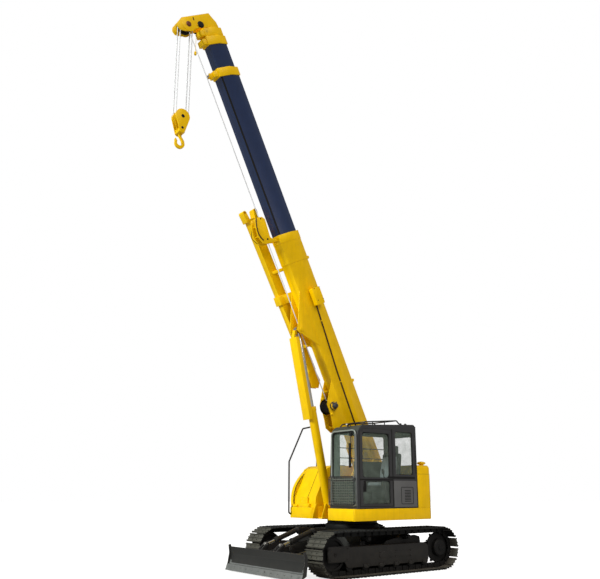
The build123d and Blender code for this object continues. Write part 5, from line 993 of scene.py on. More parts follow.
# -------- studio
@dataclass
class Studio:
    """Camera, floor and soft studio light."""

    eye: Point = (9.655, 11.079, 1.528)
    gaze: Point = (-0.5877, -0.7699, 0.2486)
    lens: float = 41.0
    shift: Pair = (-0.0098, 0.0433)
    floor_radius: float = 90.0
    floor_glow: float = 0.78
    sky: float = 0.34
    shine: float = 0.35
    key: float = 3.0
    fill: float = 1.32

    def camera(self) -> None:
        """Set up the camera."""
        data = bpy.data.cameras.new("camera")
        data.lens = self.lens
        data.sensor_width = 36.0
        data.shift_x, data.shift_y = self.shift
        data.clip_end = 500.0
        camera = bpy.data.objects.new("camera", data)
        bpy.context.scene.collection.objects.link(camera)
        camera.location = self.eye
        camera.rotation_euler = Vector(self.gaze).to_track_quat("-Z", "Y").to_euler()
        bpy.context.scene.camera = camera

    def floor(self) -> None:
        """Lay the white floor, which keeps the machine's shadow."""
        bpy.ops.mesh.primitive_circle_add(vertices=64, radius=self.floor_radius, fill_type="NGON")
        floor = Bench.place(bpy.context.active_object, "studio_floor", UPRIGHT)
        paint, add = blank("studio_floor_paint")
        matt = add("ShaderNodeBsdfDiffuse", Color=(0.5, 0.5, 0.5, 1.0))
        seen = add("ShaderNodeLightPath")
        direct = add.maths("MAXIMUM", seen.outputs["Is Camera Ray"], seen.outputs["Is Transmission Ray"])
        glow = add("ShaderNodeEmission", Strength=add.maths("MULTIPLY", direct, self.floor_glow))
        both = add("ShaderNodeAddShader")
        add.feed(both.inputs[0], matt.outputs[0])
        add.feed(both.inputs[1], glow.outputs[0])
        add.end("ShaderNodeOutputMaterial", both.outputs[0])
        floor.data.materials.append(paint)
        floor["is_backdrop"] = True

    def world(self) -> None:
        """White all round for what looks at it, softer as a light."""
        world = bpy.data.worlds.new("studio")
        world.use_nodes = True
        world.node_tree.nodes.clear()
        add = NodeBoard(world.node_tree)
        seen = add("ShaderNodeLightPath")
        direct = add.maths("MAXIMUM", seen.outputs["Is Camera Ray"], seen.outputs["Is Transmission Ray"])
        glossy = add.maths("MULTIPLY", seen.outputs["Is Glossy Ray"], self.shine)
        direct = add.maths("MAXIMUM", direct, glossy)
        strength = add.maths("MAXIMUM", direct, self.sky)
        sky = add("ShaderNodeBackground", Color=(1.0, 1.0, 1.0, 1.0), Strength=strength)
        add.end("ShaderNodeOutputWorld", sky.outputs[0])
        bpy.context.scene.world = world

    def lamp(self, name: str, towards: Point, strength: float, softness: float, colour: Point) -> None:
        """Add a soft distant lamp.

        Args:
            name: the lamp's name.
            towards: the way that its light travels.
            strength: its strength.
            softness: its angle, in degrees.
            colour: its colour.
        """
        data = bpy.data.lights.new(name, "SUN")
        data.energy = strength
        data.angle = math.radians(softness)
        data.color = colour
        lamp = bpy.data.objects.new(name, data)
        bpy.context.scene.collection.objects.link(lamp)
        lamp.rotation_euler = Vector(towards).to_track_quat("-Z", "Y").to_euler()

    def build(self) -> None:
        """Set up everything round the machine."""
        self.camera()
        self.floor()
        self.world()
        self.lamp("key", (-0.90, 0.02, -0.42), self.key, 14.0, (0.94, 1.0, 0.93))
        self.lamp("fill", (-0.10, -0.78, -0.62), self.fill, 40.0, (1.0, 0.90, 0.84))
        bpy.context.scene.view_settings.view_transform = "Standard"


# -------- refined solids
@dataclass
class Skin:
    """A solid that keeps its own shape and gets rounded edges and a finish."""

    node: str
    body: str
    finish: AnyFinish
    width: float = 0.004
    second: AnyFinish | None = None
    chosen: Callable[[Vector, Vector], bool] | None = None

    def build(self) -> Piece:
        """Refine and dress the solid.

        Returns:
            The piece, named after its node.
        """
        piece = Bench.dress(Bench.from_node(self.node, self.width), self.body, self.finish)
        if self.second and self.chosen:
            Bench.paint(piece, self.second, self.chosen)
        return piece


# -------- undercarriage
@dataclass
class Tracks:
    """Both track chains: shoes with three bars, and links on a common line of pins."""

    shoes: int = 43
    wheel_x: float = 1.395
    wheel_z: float = 0.415
    centre: float = 0.995
    pin_line: float = 0.335
    half_width: float = 0.25
    plate: Pair = (0.043, 0.056)     # inner and outer surface over the pin line
    plate_half: float = 0.087
    plate_chamfer: float = 0.005
    bar: float = 0.024
    bars: tuple[float, ...] = (0.0745, 0.0, -0.0745)
    bolt_spread: Pair = (0.037, 0.075)
    link_thickness: float = 0.015
    deck_shade: Pair = (1.50, 0.60)  # the upper run lies behind this x and over this z

    def pin(self, distance: float) -> Vector:
        """Point of the pin line, counted from the top of the rear wheel.

        Args:
            distance: how far round the line the point lies.

        Returns:
            The point, in the plane y = 0.
        """
        run = 2 * self.wheel_x
        bend = math.pi * self.pin_line
        along = distance % (2 * (run + bend))
        if along < run:
            return Vector((along - self.wheel_x, 0, self.wheel_z + self.pin_line))
        along -= run
        centre, turn = self.wheel_x, math.pi / 2 - along / self.pin_line
        if bend <= along < bend + run:
            return Vector((self.wheel_x - (along - bend), 0, self.wheel_z - self.pin_line))
        if along >= bend + run:
            centre, turn = -self.wheel_x, -math.pi / 2 - (along - bend - run) / self.pin_line
        reach = self.pin_line
        return Vector((centre + reach * math.cos(turn), 0, self.wheel_z + reach * math.sin(turn)))

    def places(self, y: float) -> list[Matrix]:
        """Frames of a chain's shoes: x from pin to pin, z away from the loop.

        Args:
            y: the chain's middle plane.

        Returns:
            One frame for each shoe.
        """
        pitch = 2 * (2 * self.wheel_x + math.pi * self.pin_line) / self.shoes
        pins = [self.pin(index * pitch) for index in range(self.shoes)]
        frames = []
        for first, second in zip(pins, pins[1:] + pins[:1]):
            ahead = (second - first).normalized()
            turn = Matrix(((ahead.x, 0, -ahead.z, 0), (0, 1, 0, 0), (ahead.z, 0, ahead.x, 0), (0, 0, 0, 1)))
            middle = (first + second) / 2
            frames.append(Matrix.Translation((middle.x, y, middle.z)) @ turn)
        return frames

    def shoe(self) -> Piece:
        """Three-bar shoe with its four bolts.

        Returns:
            The shoe, over the middle of its link.
        """
        low, high = self.plate
        half, corner = self.plate_half, high - self.plate_chamfer
        outline = [(-half, low), (half, low), (half, corner), (half - 0.003, high)]
        for middle in self.bars:
            outline += [(middle + 0.009, high), (middle + 0.005, high + self.bar),
                        (middle - 0.005, high + self.bar), (middle - 0.009, high)]
        outline += [(-half + 0.001, high), (-half, corner)]
        plate = Bench.plate("shoe_plate", outline, -self.half_width, self.half_width, edge=0.0015)
        spread_x, spread_y = self.bolt_spread
        at = [(x, y, high) for x in (-spread_x, spread_x) for y in (-spread_y, spread_y)]
        return Bench.join("shoe", [plate, Bench.bolts("shoe_bolts", at, (0, 0, 1), 0.014)])

    def link(self) -> Piece:
        """Link of one pitch: two plates each side that overlap the next, with the pin between.

        Returns:
            The link, about the middle between its pins.
        """
        outline = [(-0.112, -0.020), (-0.094, -0.043), (0.020, -0.043), (0.034, -0.020), (0.034, 0.030),
                   (0.020, 0.043), (-0.094, 0.043), (-0.112, 0.020)]
        turned = [(-x, z) for x, z in outline]
        parts = []
        for row in (-1, 1):
            for shape, inner in ((outline, 0.030), (turned, 0.047)):
                low, high = sorted((row * inner, row * (inner + self.link_thickness)))
                parts.append(Bench.plate("link_plate", shape, low, high, edge=0.0))
        x, half = -0.0934, 0.070
        parts.append(Bench.rod("link_pin", (x, -half, 0), (x, half, 0), 0.019, sides=10, edge=0.0))
        return Bench.join("link", parts)

    def in_painted_shade(self, middle: Vector, normal: Vector) -> bool:
        """Whether a face is an end or lies on the upper run, which get the darker finish as painted shade for the
        chain's side recess and the deck above.
        """
        front, low = self.deck_shade
        return abs(normal.y) > 0.6 or (middle.z > low and middle.x < front)

    def build(self) -> None:
        """Build both tracks."""
        for side, sign in SIDES:
            places = self.places(sign * self.centre)
            shoes = Bench.dress(Bench.repeat(f"shoes_{side}", self.shoe(), places), "undercarriage", SHOES)
            # ends and upper run get the darker finish as painted shade
            Bench.paint(shoes, RUNNING, self.in_painted_shade)
            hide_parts(f"track_{side}")
            Bench.dress(Bench.repeat(f"links_{side}", self.link(), places), "undercarriage", RUNNING)


@dataclass
class RunningGear:
    """Track frames, wheels and rollers."""

    centre: float = 0.995
    half_frame: float = 0.115
    wheel_x: float = 1.395
    wheel_z: float = 0.415
    rollers: tuple[float, ...] = (-0.930, -0.538, -0.146, 0.246, 0.638, 1.030)
    carriers: tuple[tuple[str, float], ...] = (("rear", -0.53), ("front", 0.53))
    carrier_z: float = 0.6547
    drive_bolts: int = 14
    drive_ring: float = 0.125
    yoke_thickness: float = 0.010
    cover_thickness: float = 0.006
    bracket_thickness: float = 0.012

    def frame_details(self, side: str, sign: int) -> list[Piece]:
        """Yoke plates, roller brackets and bolts on a frame's outer face.

        Args:
            side: left or right.
            sign: 1 for the left, -1 for the right.

        Returns:
            The fittings, not joined yet.
        """
        face = sign * (self.centre + self.half_frame)

        def on_face(name: str, outline: list[Pair], depth: float, height: float, edge: float) -> Piece:
            """Plate sunk by a depth into the face and standing over it by a height."""
            low, high = sorted((face - sign * depth, face + sign * height))
            return Bench.plate(f"{name}_{side}", outline, low, high, edge=edge)

        yoke = [(1.060, 0.292), (1.530, 0.292), (1.536, 0.300), (1.536, 0.530), (1.530, 0.538), (1.060, 0.538)]
        cover = [(-0.55, 0.300), (0.30, 0.300), (0.30, 0.420), (-0.55, 0.420)]
        parts = [on_face("yoke_plate", yoke, 0.001, self.yoke_thickness, 0.003),
                 on_face("frame_cover", cover, 0.001, self.cover_thickness, 0.002)]
        for x in self.rollers[:-1]:
            bracket = [(x - 0.075, 0.180), (x - 0.045, 0.150), (x + 0.045, 0.150), (x + 0.075, 0.180),
                       (x + 0.060, 0.215), (x - 0.060, 0.215)]
            parts.append(on_face("roller_bracket", bracket, 0.030, self.bracket_thickness, 0.003))
        on_bracket, on_yoke, on_cover = (face + sign * height for height in
                                         (self.bracket_thickness, self.yoke_thickness, self.cover_thickness))
        at = [(x + step, on_bracket, 0.198) for x in self.rollers[:-1] for step in (-0.045, 0.045)]
        at += [(x, on_yoke, z) for x in (1.085, 1.50) for z in (0.320, 0.510)]
        at += [(x, on_cover, z) for x in (-0.53, -0.125, 0.28) for z in (0.315, 0.405)]
        parts.append(Bench.bolts(f"frame_bolts_{side}", at, (0, sign, 0), 0.013))
        return parts

    def wheel_details(self, side: str, sign: int) -> None:
        """Idler axle, drive bolts and carrier roller caps of one track.

        Args:
            side: left or right.
            sign: 1 for the left, -1 for the right.
        """
        face = sign * (self.centre + self.half_frame)
        profile = [(0.0, 0.0), (0.0, 0.030), (0.016, 0.030), (0.016, 0.018), (0.008, 0.016), (0.008, 0.0)]
        centre = (1.388, face + sign * self.cover_thickness, 0.413)
        axle = Bench.lathe(f"idler_axle_{side}", mirrored(profile, sign), centre, steps=20)
        Bench.dress(axle, "undercarriage", RUBBER)
        ring = [(-self.wheel_x + self.drive_ring * math.cos(a), sign * (self.centre + 0.096),
                 self.wheel_z + self.drive_ring * math.sin(a))
                for a in (2 * math.pi * i / self.drive_bolts for i in range(self.drive_bolts))]
        Bench.dress(Bench.bolts(f"drive_bolts_{side}", ring, (0, sign, 0), 0.012), "undercarriage", RUNNING)
        profile = mirrored([(0.0, 0.0), (0.0, 0.040), (0.012, 0.040), (0.020, 0.030), (0.020, 0.0)], sign)
        for end, x in self.carriers:
            centre = (x, sign * (self.centre + 0.090), self.carrier_z)
            cap = Bench.lathe(f"carrier_cap_{side}_{end}", profile, centre, steps=20)
            Bench.dress(cap, "undercarriage", RUNNING)

    def build(self) -> None:
        """Refine the solids and add what is bolted to them."""
        for side, sign in SIDES:
            Skin(f"track_frame_{side}", "undercarriage", DARK, 0.006).build()
            details = Bench.join(f"frame_fittings_{side}", self.frame_details(side, sign))
            Bench.dress(details, "undercarriage", DARK)
            for node in ("rollers", "idler", "sprocket"):
                Skin(f"{node}_{side}", "undercarriage", RUNNING, 0.003).build()
            inner = sign * (self.centre - self.half_frame)
            low, high = sorted((inner, inner + sign * 0.010))
            guard = Bench.box(f"roller_guard_{side}", (-0.93, low, 0.055), (1.30, high, 0.200), edge=0.003)
            Bench.dress(guard, "undercarriage", DARK)
            low, high = sorted((sign * (self.centre - 0.095), sign * (self.centre - 0.060)))
            cover = [(-1.00, 0.528), (0.02, 0.528), (-0.06, 0.590), (-0.40, 0.645), (-0.85, 0.672),
                     (-0.98, 0.640)]
            Bench.dress(Bench.plate(f"hose_cover_{side}", cover, low, high, edge=0.004), "undercarriage", DARK)
            self.wheel_details(side, sign)


@dataclass
class DozerBlade:
    """Blade with its cutting edge, and the two lift cylinders."""

    half_width: float = 1.245
    edge_top: float = 0.20
    edge_bolts: int = 12
    bolt_inset: float = 0.095
    bolt_z: float = 0.095

    def on_edge(self, middle: Vector, normal: Vector) -> bool:
        """Whether a face lies on the front of the cutting edge, whose lighter steel is partly its own wear and
        partly painted highlight for the light on the blade's lower curve.
        """
        return middle.z < self.edge_top and normal.x > 0.4

    def build(self) -> None:
        """Build the blade's wear parts and its cylinders."""
        Skin("dozer_blade", "blade", BLADE, 0.004, EDGE, self.on_edge).build()
        reach = self.half_width - self.bolt_inset
        across = [-reach + 2 * reach * i / (self.edge_bolts - 1) for i in range(self.edge_bolts)]
        spot, normal = Bench.touch("dozer_blade", (3.0, 0.4, self.bolt_z), (-1, 0, 0))
        bolts = Bench.bolts("edge_bolts", [(spot.x, y, spot.z) for y in across], tuple(normal), 0.013)
        Bench.dress(bolts, "blade", EDGE)
        for side, _ in SIDES:
            Skin(f"blade_barrel_{side}", f"blade_barrel_{side}", DARK, 0.003).build()
            Skin(f"blade_rod_{side}", f"blade_rod_{side}", CHROME, 0.002).build()


@dataclass
class Carbody:
    """Body between the tracks, with its pipes and the slewing ring."""

    ring_radius: float = 0.49
    ring_z: float = 0.893
    ring_bolts: int = 36
    pipe_radius: float = 0.011

    def build(self) -> None:
        """Refine the solids and add the ring's bolts and the pipes to the blade."""
        Skin("carbody", "undercarriage", DARK, 0.008).build()
        Skin("slew_ring", "undercarriage", RUNNING, 0.004).build()
        ring = [(self.ring_radius * math.cos(a), self.ring_radius * math.sin(a), self.ring_z)
                for a in (2 * math.pi * i / self.ring_bolts for i in range(self.ring_bolts))]
        Bench.dress(Bench.bolts("slew_ring_bolts", ring, (0, 0, 1), 0.011), "undercarriage", RUNNING)
        for side, sign in SIDES:
            route = [(0.66, sign * 0.12, 0.60), (0.86, sign * 0.13, 0.62), (1.00, sign * 0.16, 0.66),
                     (1.12, sign * 0.20, 0.70)]
            Bench.dress(Bench.pipe(f"blade_pipe_{side}", route, self.pipe_radius), "undercarriage", RUBBER)


# -------- upperworks
@dataclass
class UpperBody:
    """Deck, tail, hood and the cover on the right, with handles, seams and the handrail."""

    deck_left: float = 1.200
    deck_right: float = -1.199
    deck_top: float = 1.195
    tail_radius: float = 1.600
    hood_radius: float = 1.5755
    hood_top: float = 2.035
    rail_x: float = 0.70
    rail_y: float = -1.090
    seam_depth: float = 0.004
    seam_proud: float = 0.0012
    frame_top: float = 0.985

    def in_deck_shadow(self, middle: Vector, normal: Vector) -> bool:
        """Whether a face of the frame lies below the deck, where its dark finish is painted shade for the deck's
        shadow.
        """
        return middle.z < self.frame_top

    def panels(self) -> None:
        """Refine the yellow solids."""
        # the frame below the deck is painted dark as the deck's shadow
        Skin("upper_frame", "upperworks", YELLOW, 0.004, DARK, self.in_deck_shadow).build()
        for node, body, finish, width in (
            ("left_deck", "upperworks", YELLOW, 0.016),
            ("right_deck", "upperworks", YELLOW, 0.014),
            ("counterweight", "upperworks", YELLOW, 0.012),
            ("engine_hood", "hood", YELLOW, 0.008),
            ("left_housing", "upperworks", YELLOW, 0.010),
            ("right_cover", "upperworks", YELLOW, 0.012),
            ("engine_block", "upperworks", IRON, 0.010),
            ("handrail", "upperworks", BLACK, 0.0),
        ):
            Skin(node, body, finish, width).build()

    def hood_fittings(self) -> None:
        """Pre-cleaner, grab handle and air slats of the hood."""
        top = self.hood_top
        profile = [(-0.030, 0.0), (-0.030, 0.050), (0.030, 0.050), (0.034, 0.078), (0.052, 0.090), (0.070, 0.084),
                   (0.086, 0.052), (0.092, 0.0)]
        cap = Bench.lathe("pre_cleaner", profile, (-1.190, 0.868, top), axis="z", edge=0.002)
        Bench.dress(cap, "hood", YELLOW)
        ends = ((-0.16, -0.006), (-0.16, 0.055), (0.16, 0.055), (0.16, -0.006))
        grip = [(-1.22, y, top + rise) for y, rise in ends]
        Bench.dress(Bench.pipe("hood_handle", Bench.rounded(grip, 0.03), 0.011), "hood", BLACK)
        slats = [Bench.box("hood_slat", (x - 0.009, -0.80, top - 0.003), (x + 0.009, -0.38, top + 0.008),
                           edge=0.003) for x in (-1.14 - 0.030 * index for index in range(9))]
        Bench.fit("hood_slats", slats, "hood", BLACK)

    def seams(self) -> None:
        """Rubber strips in the gaps between panels, and the tail's latches."""
        inner, outer = self.deck_left - self.seam_depth, self.deck_left + self.seam_proud
        rows = [
            ((-1.064, inner, 0.992), (-1.058, outer, 1.196)),
            ((0.9788, 1.176, 0.990), (0.9812, 1.182, 1.192)),
            ((-1.064, inner, 1.20), (-1.058, outer, 1.846)),
            ((-1.088, inner, 1.8565), (-0.716, outer, 1.8605)),
        ]
        parts = [Bench.box("seam", low, high, edge=0.0) for low, high in rows]
        Bench.fit("body_seams", parts, "upperworks", RUBBER)
        turns = [math.radians(132 + 96 * i / 24) for i in range(25)]
        for name, radius, z, thickness, angles in (("tail_seam", self.tail_radius, 1.1705, 0.004, turns),
                                                   ("hood_seam", self.hood_radius, 1.8505, 0.0045, turns[:24])):
            ring = [(radius * math.cos(a), radius * math.sin(a), z) for a in angles]
            Bench.dress(Bench.pipe(name, ring, thickness, sides=1, smooth=False), "upperworks", RUBBER)
        latches = []
        for y in (-0.75, 0.75):
            x = -math.sqrt(1.575 ** 2 - y ** 2)
            turn = Matrix.Translation((x, y, 1.78)) @ Matrix.Rotation(math.atan2(y, x), 4, "Z")
            latches.append(Bench.box("tail_latch", (-0.010, -0.045, -0.030), (0.006, 0.045, 0.030), turn))
            latches.append(Bench.rod("latch_lock", (0.0, 0.0, 0.0), (0.012, 0.0, 0.0), 0.014, turn))
        Bench.fit("tail_latches", latches, "upperworks", BLACK)

    def tail_pockets(self) -> None:
        """Two lifting pockets in the tail's round."""
        parts = []
        for y in (-0.45, 0.45):
            x = -math.sqrt((self.tail_radius - 0.10) ** 2 - y ** 2)
            turn = Matrix.Translation((x, y, 1.0)) @ Matrix.Rotation(math.atan2(y, x), 4, "Z")
            parts.append(Bench.rod("tail_pocket", (0.04, 0, 0.36), (0.10, 0, 0.36), 0.045, turn))
        Bench.fit("tail_pockets", parts, "upperworks", YELLOW)

    def cover_fittings(self) -> None:
        """Outer panel, gap line, tank cap, boxes and step treads on the right cover."""
        crown = [(-0.10, 2.052), (0.10, 2.056), (0.221, 2.044), (0.320, 1.985), (0.407, 1.905), (0.510, 1.800),
                 (0.589, 1.700), (0.645, 1.600), (0.678, 1.505), (0.695, 1.400), (0.698, 1.305), (0.690, 1.203)]
        panel = crown + [(0.60, 1.203), (0.30, 1.80), (-0.10, 1.95)]
        panel_inner = -1.080
        outer = Bench.plate("outer_panel", panel, self.deck_right, panel_inner, edge=0.014)
        Bench.dress(outer, "upperworks", YELLOW)
        route = [(x - 0.004, panel_inner + 0.002, z - 0.003) for x, z in crown]
        gap = Bench.pipe("cover_gap", route, 0.006, sides=1, smooth=False)
        route = [(x, -0.62, z) for x, z in ((0.374, 1.986), (0.673, 1.401), (0.683, 1.215))]
        inner = Bench.pipe("cover_gap_inner", route, 0.0035, sides=1, smooth=False)
        Bench.fit("cover_gaps", [gap, inner], "upperworks", RUBBER)
        profile = [(0.0, 0.0), (0.0, 0.062), (0.028, 0.062), (0.036, 0.052), (0.036, 0.0)]
        cap = Bench.lathe("tank_cap", profile, (-0.42, -0.78, 2.045), axis="z", edge=0.002)
        Bench.dress(cap, "upperworks", BLACK)
        boxes = [
            Bench.box("foot_box", (0.40, -0.86, self.deck_top), (0.745, -0.50, 1.275), edge=0.012),
            Bench.box("foot_box", (0.50, -1.13, self.deck_top), (0.735, -0.93, 1.255), edge=0.010),
            Bench.box("foot_box", (0.672, -0.80, 1.26), (0.715, -0.58, 1.40), edge=0.012),
        ]
        Bench.fit("foot_boxes", boxes, "upperworks", YELLOW)
        low, high = self.deck_top + 0.004, self.deck_top + 0.011
        steps = [Bench.box("step_tread", (0.70, y, low), (0.745, y + 0.08, high), edge=0.002)
                 for y in (-1.12 + 0.11 * i for i in range(6))]
        Bench.fit("step_treads", steps, "upperworks", BLACK)

    def handrail_fittings(self) -> None:
        """Clamp that holds the handrail to the deck."""
        x, y = self.rail_x, self.rail_y
        clamp = Bench.box("rail_fittings", (x - 0.035, y - 0.014, 1.03), (x + 0.035, y + 0.025, 1.11))
        Bench.dress(clamp, "upperworks", BLACK)

    def build(self) -> None:
        """Build the body's skins and fittings."""
        self.panels()
        self.hood_fittings()
        self.seams()
        self.tail_pockets()
        self.cover_fittings()
        self.handrail_fittings()


@dataclass
class Cab:
    """Cab with its seals, wiper, guard, door fittings and seat."""

    side: float = 1.200
    glass_y: float = 1.177
    screen_x: float = 0.882
    guard_x: float = 0.965
    guard_y: Pair = (0.437, 1.163)
    guard_z: Pair = (1.262, 1.793)
    guard_corner: float = 0.035
    wire: float = 0.0052
    rail_y: Pair = (1.138, 0.474)
    roof_z: float = 2.880
    roof_fall: float = 0.082
    ahead: Matrix = field(default_factory=lambda: Matrix.Rotation(math.pi / 2, 4, "Z"))

    def shell(self) -> None:
        """Refine the shell, door and glass, with the panel's and the front frame's own greys."""
        Skin("cab_shell", "upperworks", CAB_FRAME, 0.008, LINING, self.inside).build()
        wall = Bench.box("side_lining", (-0.670, 0.424, 1.250), (0.300, 0.438, 2.110), edge=0.005)
        Bench.dress(wall, "upperworks", LINING)
        y = self.side
        panel = Bench.box("cab_panel", (-0.682, y - 0.003, 1.222), (-0.048, y + 0.003, 1.722), edge=0.002)
        Bench.dress(panel, "upperworks", CAB_GREY)
        Skin("cab_door", "upperworks", CAB_FRAME, 0.006).build()
        Skin("cab_glass", "upperworks", GLASS, 0.001).build()

    @staticmethod
    def inside(middle: Vector, normal: Vector) -> bool:
        """Whether a face of the shell looks into the cab."""
        within = 0.43 < middle.y < 1.165 and -0.67 < middle.x < 0.86 and 1.24 < middle.z < 2.80
        return within and max(abs(part) for part in normal) > 0.5

    def seals(self) -> None:
        """Rubber about each pane, the screens' rims, the pillar's strip and the gaps about the door."""
        pane_y, pane_x = self.glass_y + 0.004, -self.screen_x - 0.003
        rows = [
            # middle, size, corner, frame
            ((0.4025, pane_y, 2.196), (0.709, 0.852), 0.09, UPRIGHT),
            ((0.4025, pane_y, 1.500), (0.709, 0.430), 0.05, UPRIGHT),
            ((-0.360, pane_y, 2.255), (0.480, 0.840), 0.05, UPRIGHT),
            ((0.800, pane_x, 2.205), (0.660, 0.860), 0.06, self.ahead),
            ((0.800, pane_x, 1.500), (0.660, 0.430), 0.05, self.ahead),
        ]
        parts = [Bench.seal("seal", middle, size, corner, 0.009, where) for middle, size, corner, where in rows]
        Bench.fit("window_seals", parts, "upperworks", RUBBER)
        rim_x = -self.screen_x - 0.012
        rims = [Bench.seal("rim", (0.800, rim_x, 2.205), (0.712, 0.912), 0.08, 0.014, self.ahead),
                Bench.seal("rim", (0.800, rim_x, 1.500), (0.712, 0.482), 0.06, 0.016, self.ahead)]
        Bench.fit("screen_rims", rims, "upperworks", FRAME_GREY)
        strip = Bench.box("pillar_strip", (0.896, 1.138, 1.26), (0.908, 1.194, 2.58))
        Bench.dress(strip, "upperworks", CAB_GREY)
        rows = [
            # x, z, how far proud
            ((-0.706, -0.696), (1.212, 2.80), 0.002),
            ((-0.036, -0.022), (1.235, 2.72), 0.003),
            ((0.832, 0.842), (1.235, 2.66), 0.002),
            ((-0.036, 0.832), (1.722, 1.748), 0.0015),
            ((-0.70, 0.84), (1.203, 1.215), 0.002),
            ((-0.036, 0.832), (1.238, 1.249), 0.0015),
        ]
        y = self.side
        gaps = [Bench.box("gap", (back, y - 0.004, low), (front, y + proud, high), edge=0.0)
                for (back, front), (low, high), proud in rows]
        Bench.fit("door_gaps", gaps, "upperworks", RUBBER)

    def wiper(self) -> None:
        """Wiper motor, arm and blade on the windscreen, and bars on the right side."""
        x = self.screen_x + 0.012
        arm = [(x + 0.004, 1.02, 2.59), (x + 0.004, 1.03, 2.42), (x + 0.002, 1.00, 2.20)]
        parts = [
            Bench.box("wiper_motor", (x - 0.006, 0.985, 2.55), (x + 0.008, 1.055, 2.63), edge=0.006),
            Bench.pipe("wiper_arm", arm, 0.007, smooth=False),
            Bench.box("wiper_blade", (x - 0.008, 0.955, 1.96), (x + 0.004, 1.020, 2.42), edge=0.003),
        ]
        Bench.fit("wiper", parts, "upperworks", RUBBER)
        bars = [Bench.rod("side_bar", (-0.55, 0.432, z), (0.83, 0.432, z), 0.009) for z in (2.365, 2.167)]
        Bench.fit("side_bars", bars, "upperworks", BLACK)

    def door_fittings(self) -> None:
        """Handle, lock and slide rail of the door, louvre on the panel, grab rail behind it."""
        y = self.side
        parts = [
            Bench.box("handle_recess", (0.668, y - 0.018, 1.512), (0.826, y - 0.004, 1.722), edge=0.008),
            Bench.box("handle_frame", (0.664, y - 0.010, 1.700), (0.830, y - 0.001, 1.725), edge=0.003),
            Bench.box("slide_rail", (-0.640, y - 0.012, 1.758), (0.100, y + 0.004, 1.802), edge=0.006),
        ]
        Bench.fit("door_trim", parts, "upperworks", RUBBER)
        x, deep, shallow = 0.745, y - 0.016, y - 0.003
        pull = [(x, deep, 1.60), (x, shallow, 1.615), (x, shallow, 1.685), (x, deep, 1.70)]
        handle = [Bench.pipe("handle_pull", pull, 0.008, smooth=False),
                  Bench.rod("handle_lock", (x, y - 0.018, 1.545), (x, y - 0.004, 1.545), 0.014)]
        Bench.fit("door_handle", handle, "upperworks", BLACK)
        face = y + 0.003
        slats = [Bench.box("louvre_slat", (-0.505, face - 0.001, z), (-0.335, face + 0.004, z + 0.012),
                           edge=0.002) for z in (1.325 + 0.029 * i for i in range(8))]
        rim = Bench.seal("louvre_rim", (-0.409, face + 0.0005, 1.439), (0.328, 0.318), 0.02, 0.0055, UPRIGHT)
        Bench.fit("louvre", slats + [rim], "upperworks", RUBBER)
        grab = [(-0.665, face - rise, z) for rise, z in ((0.004, 1.86), (0.0, 1.87), (0.0, 2.50), (0.004, 2.51))]
        Bench.dress(Bench.pipe("rear_grab", grab, 0.008, smooth=False), "upperworks", BLACK)

    def height(self, x: float) -> float:
        """Height of the roof rails, which fall to the front with the roof."""
        return self.roof_z - self.roof_fall * x

    def roof(self) -> None:
        """Roof rails, lamp and vents."""
        height = self.height
        tubes = []
        for y in self.rail_y:
            ends = ((-0.30, 0.065), (-0.235, 0.0), (0.62, 0.0), (0.688, 0.050))
            route = [(x, y, height(x) - drop) for x, drop in ends]
            tubes.append(Bench.pipe("rail", Bench.rounded(route, 0.02), 0.0135, sides=2))
            tubes += [Bench.rod("rail_post", (x, y, height(x) - 0.068), (x, y, height(x)), 0.010, sides=12)
                      for x in (0.10, 0.42)]
        left, right = self.rail_y
        tubes += [Bench.rod("rail_cross", (x, right, height(x)), (x, left, height(x)), 0.0125, sides=14)
                  for x in (-0.235, 0.61)]
        rails = Bench.join("roof_rail_tubes", tubes)
        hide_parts("roof_rails")
        Bench.dress(rails, "upperworks", BLACK)
        y = 0.87
        lamp = [Bench.box("roof_lamp", (0.800, y - 0.030, 2.765), (0.862, y + 0.030, 2.805), edge=0.010),
                Bench.rod("roof_lamp_foot", (0.83, y, 2.73), (0.83, y, 2.78), 0.014)]
        lens = Bench.box("roof_lamp_lenses", (0.861, y - 0.024, 2.771), (0.865, y + 0.024, 2.799), edge=0.002)
        Bench.fit("roof_lamps", lamp, "upperworks", BLACK)
        Bench.dress(lens, "upperworks", LENS)
        profile = [(-0.01, 0.0), (-0.01, 0.028), (0.012, 0.026), (0.022, 0.012), (0.022, 0.0)]
        bumps = [Bench.lathe("roof_bump", profile, (x, 1.12, 2.836), axis="z", steps=16) for x in (-0.36, -0.50)]
        Bench.fit("roof_bumps", bumps, "upperworks", BLACK)

    def guard(self) -> None:
        """Wire guard before the lower screen, and a dark sheet behind the pane as painted shade for the cab's
        dark inside.
        """
        x, (right, left), (low, high) = self.guard_x, self.guard_y, self.guard_z
        middle = ((left + right) / 2, -x, (low + high) / 2)
        size = (left - right, high - low)
        frame_tube = Bench.seal("guard_tube", middle, size, self.guard_corner, 0.0085, self.ahead)
        back = x - 0.004
        ends = [((x, y, low), (x, y, high)) for y in (right + 0.045 + 0.053 * i for i in range(13))]
        ends += [((back, right, z), (back, left, z)) for z in (low + 0.045 + 0.049 * i for i in range(10))]
        wires = [Bench.rod("guard_wire", start, end, self.wire, sides=6, edge=0.0) for start, end in ends]
        legs = [Bench.rod("guard_leg", (0.898, y, z), (x, y, z), 0.007, sides=12)
                for y in (right + 0.02, left - 0.02) for z in (low + 0.06, high - 0.06)]
        guard = Bench.join("guard_frame", [frame_tube] + legs)
        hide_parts("front_guard")
        Bench.dress(guard, "upperworks", BLACK)
        Bench.fit("guard_mesh", wires, "upperworks", MESH)
        # dark sheet behind the lower pane: painted shade
        shade_sheet = Bench.box("kick_plate", (0.868, 0.474, 1.290), (0.874, 1.126, 1.710), edge=0.001)
        Bench.dress(shade_sheet, "upperworks", RUBBER)

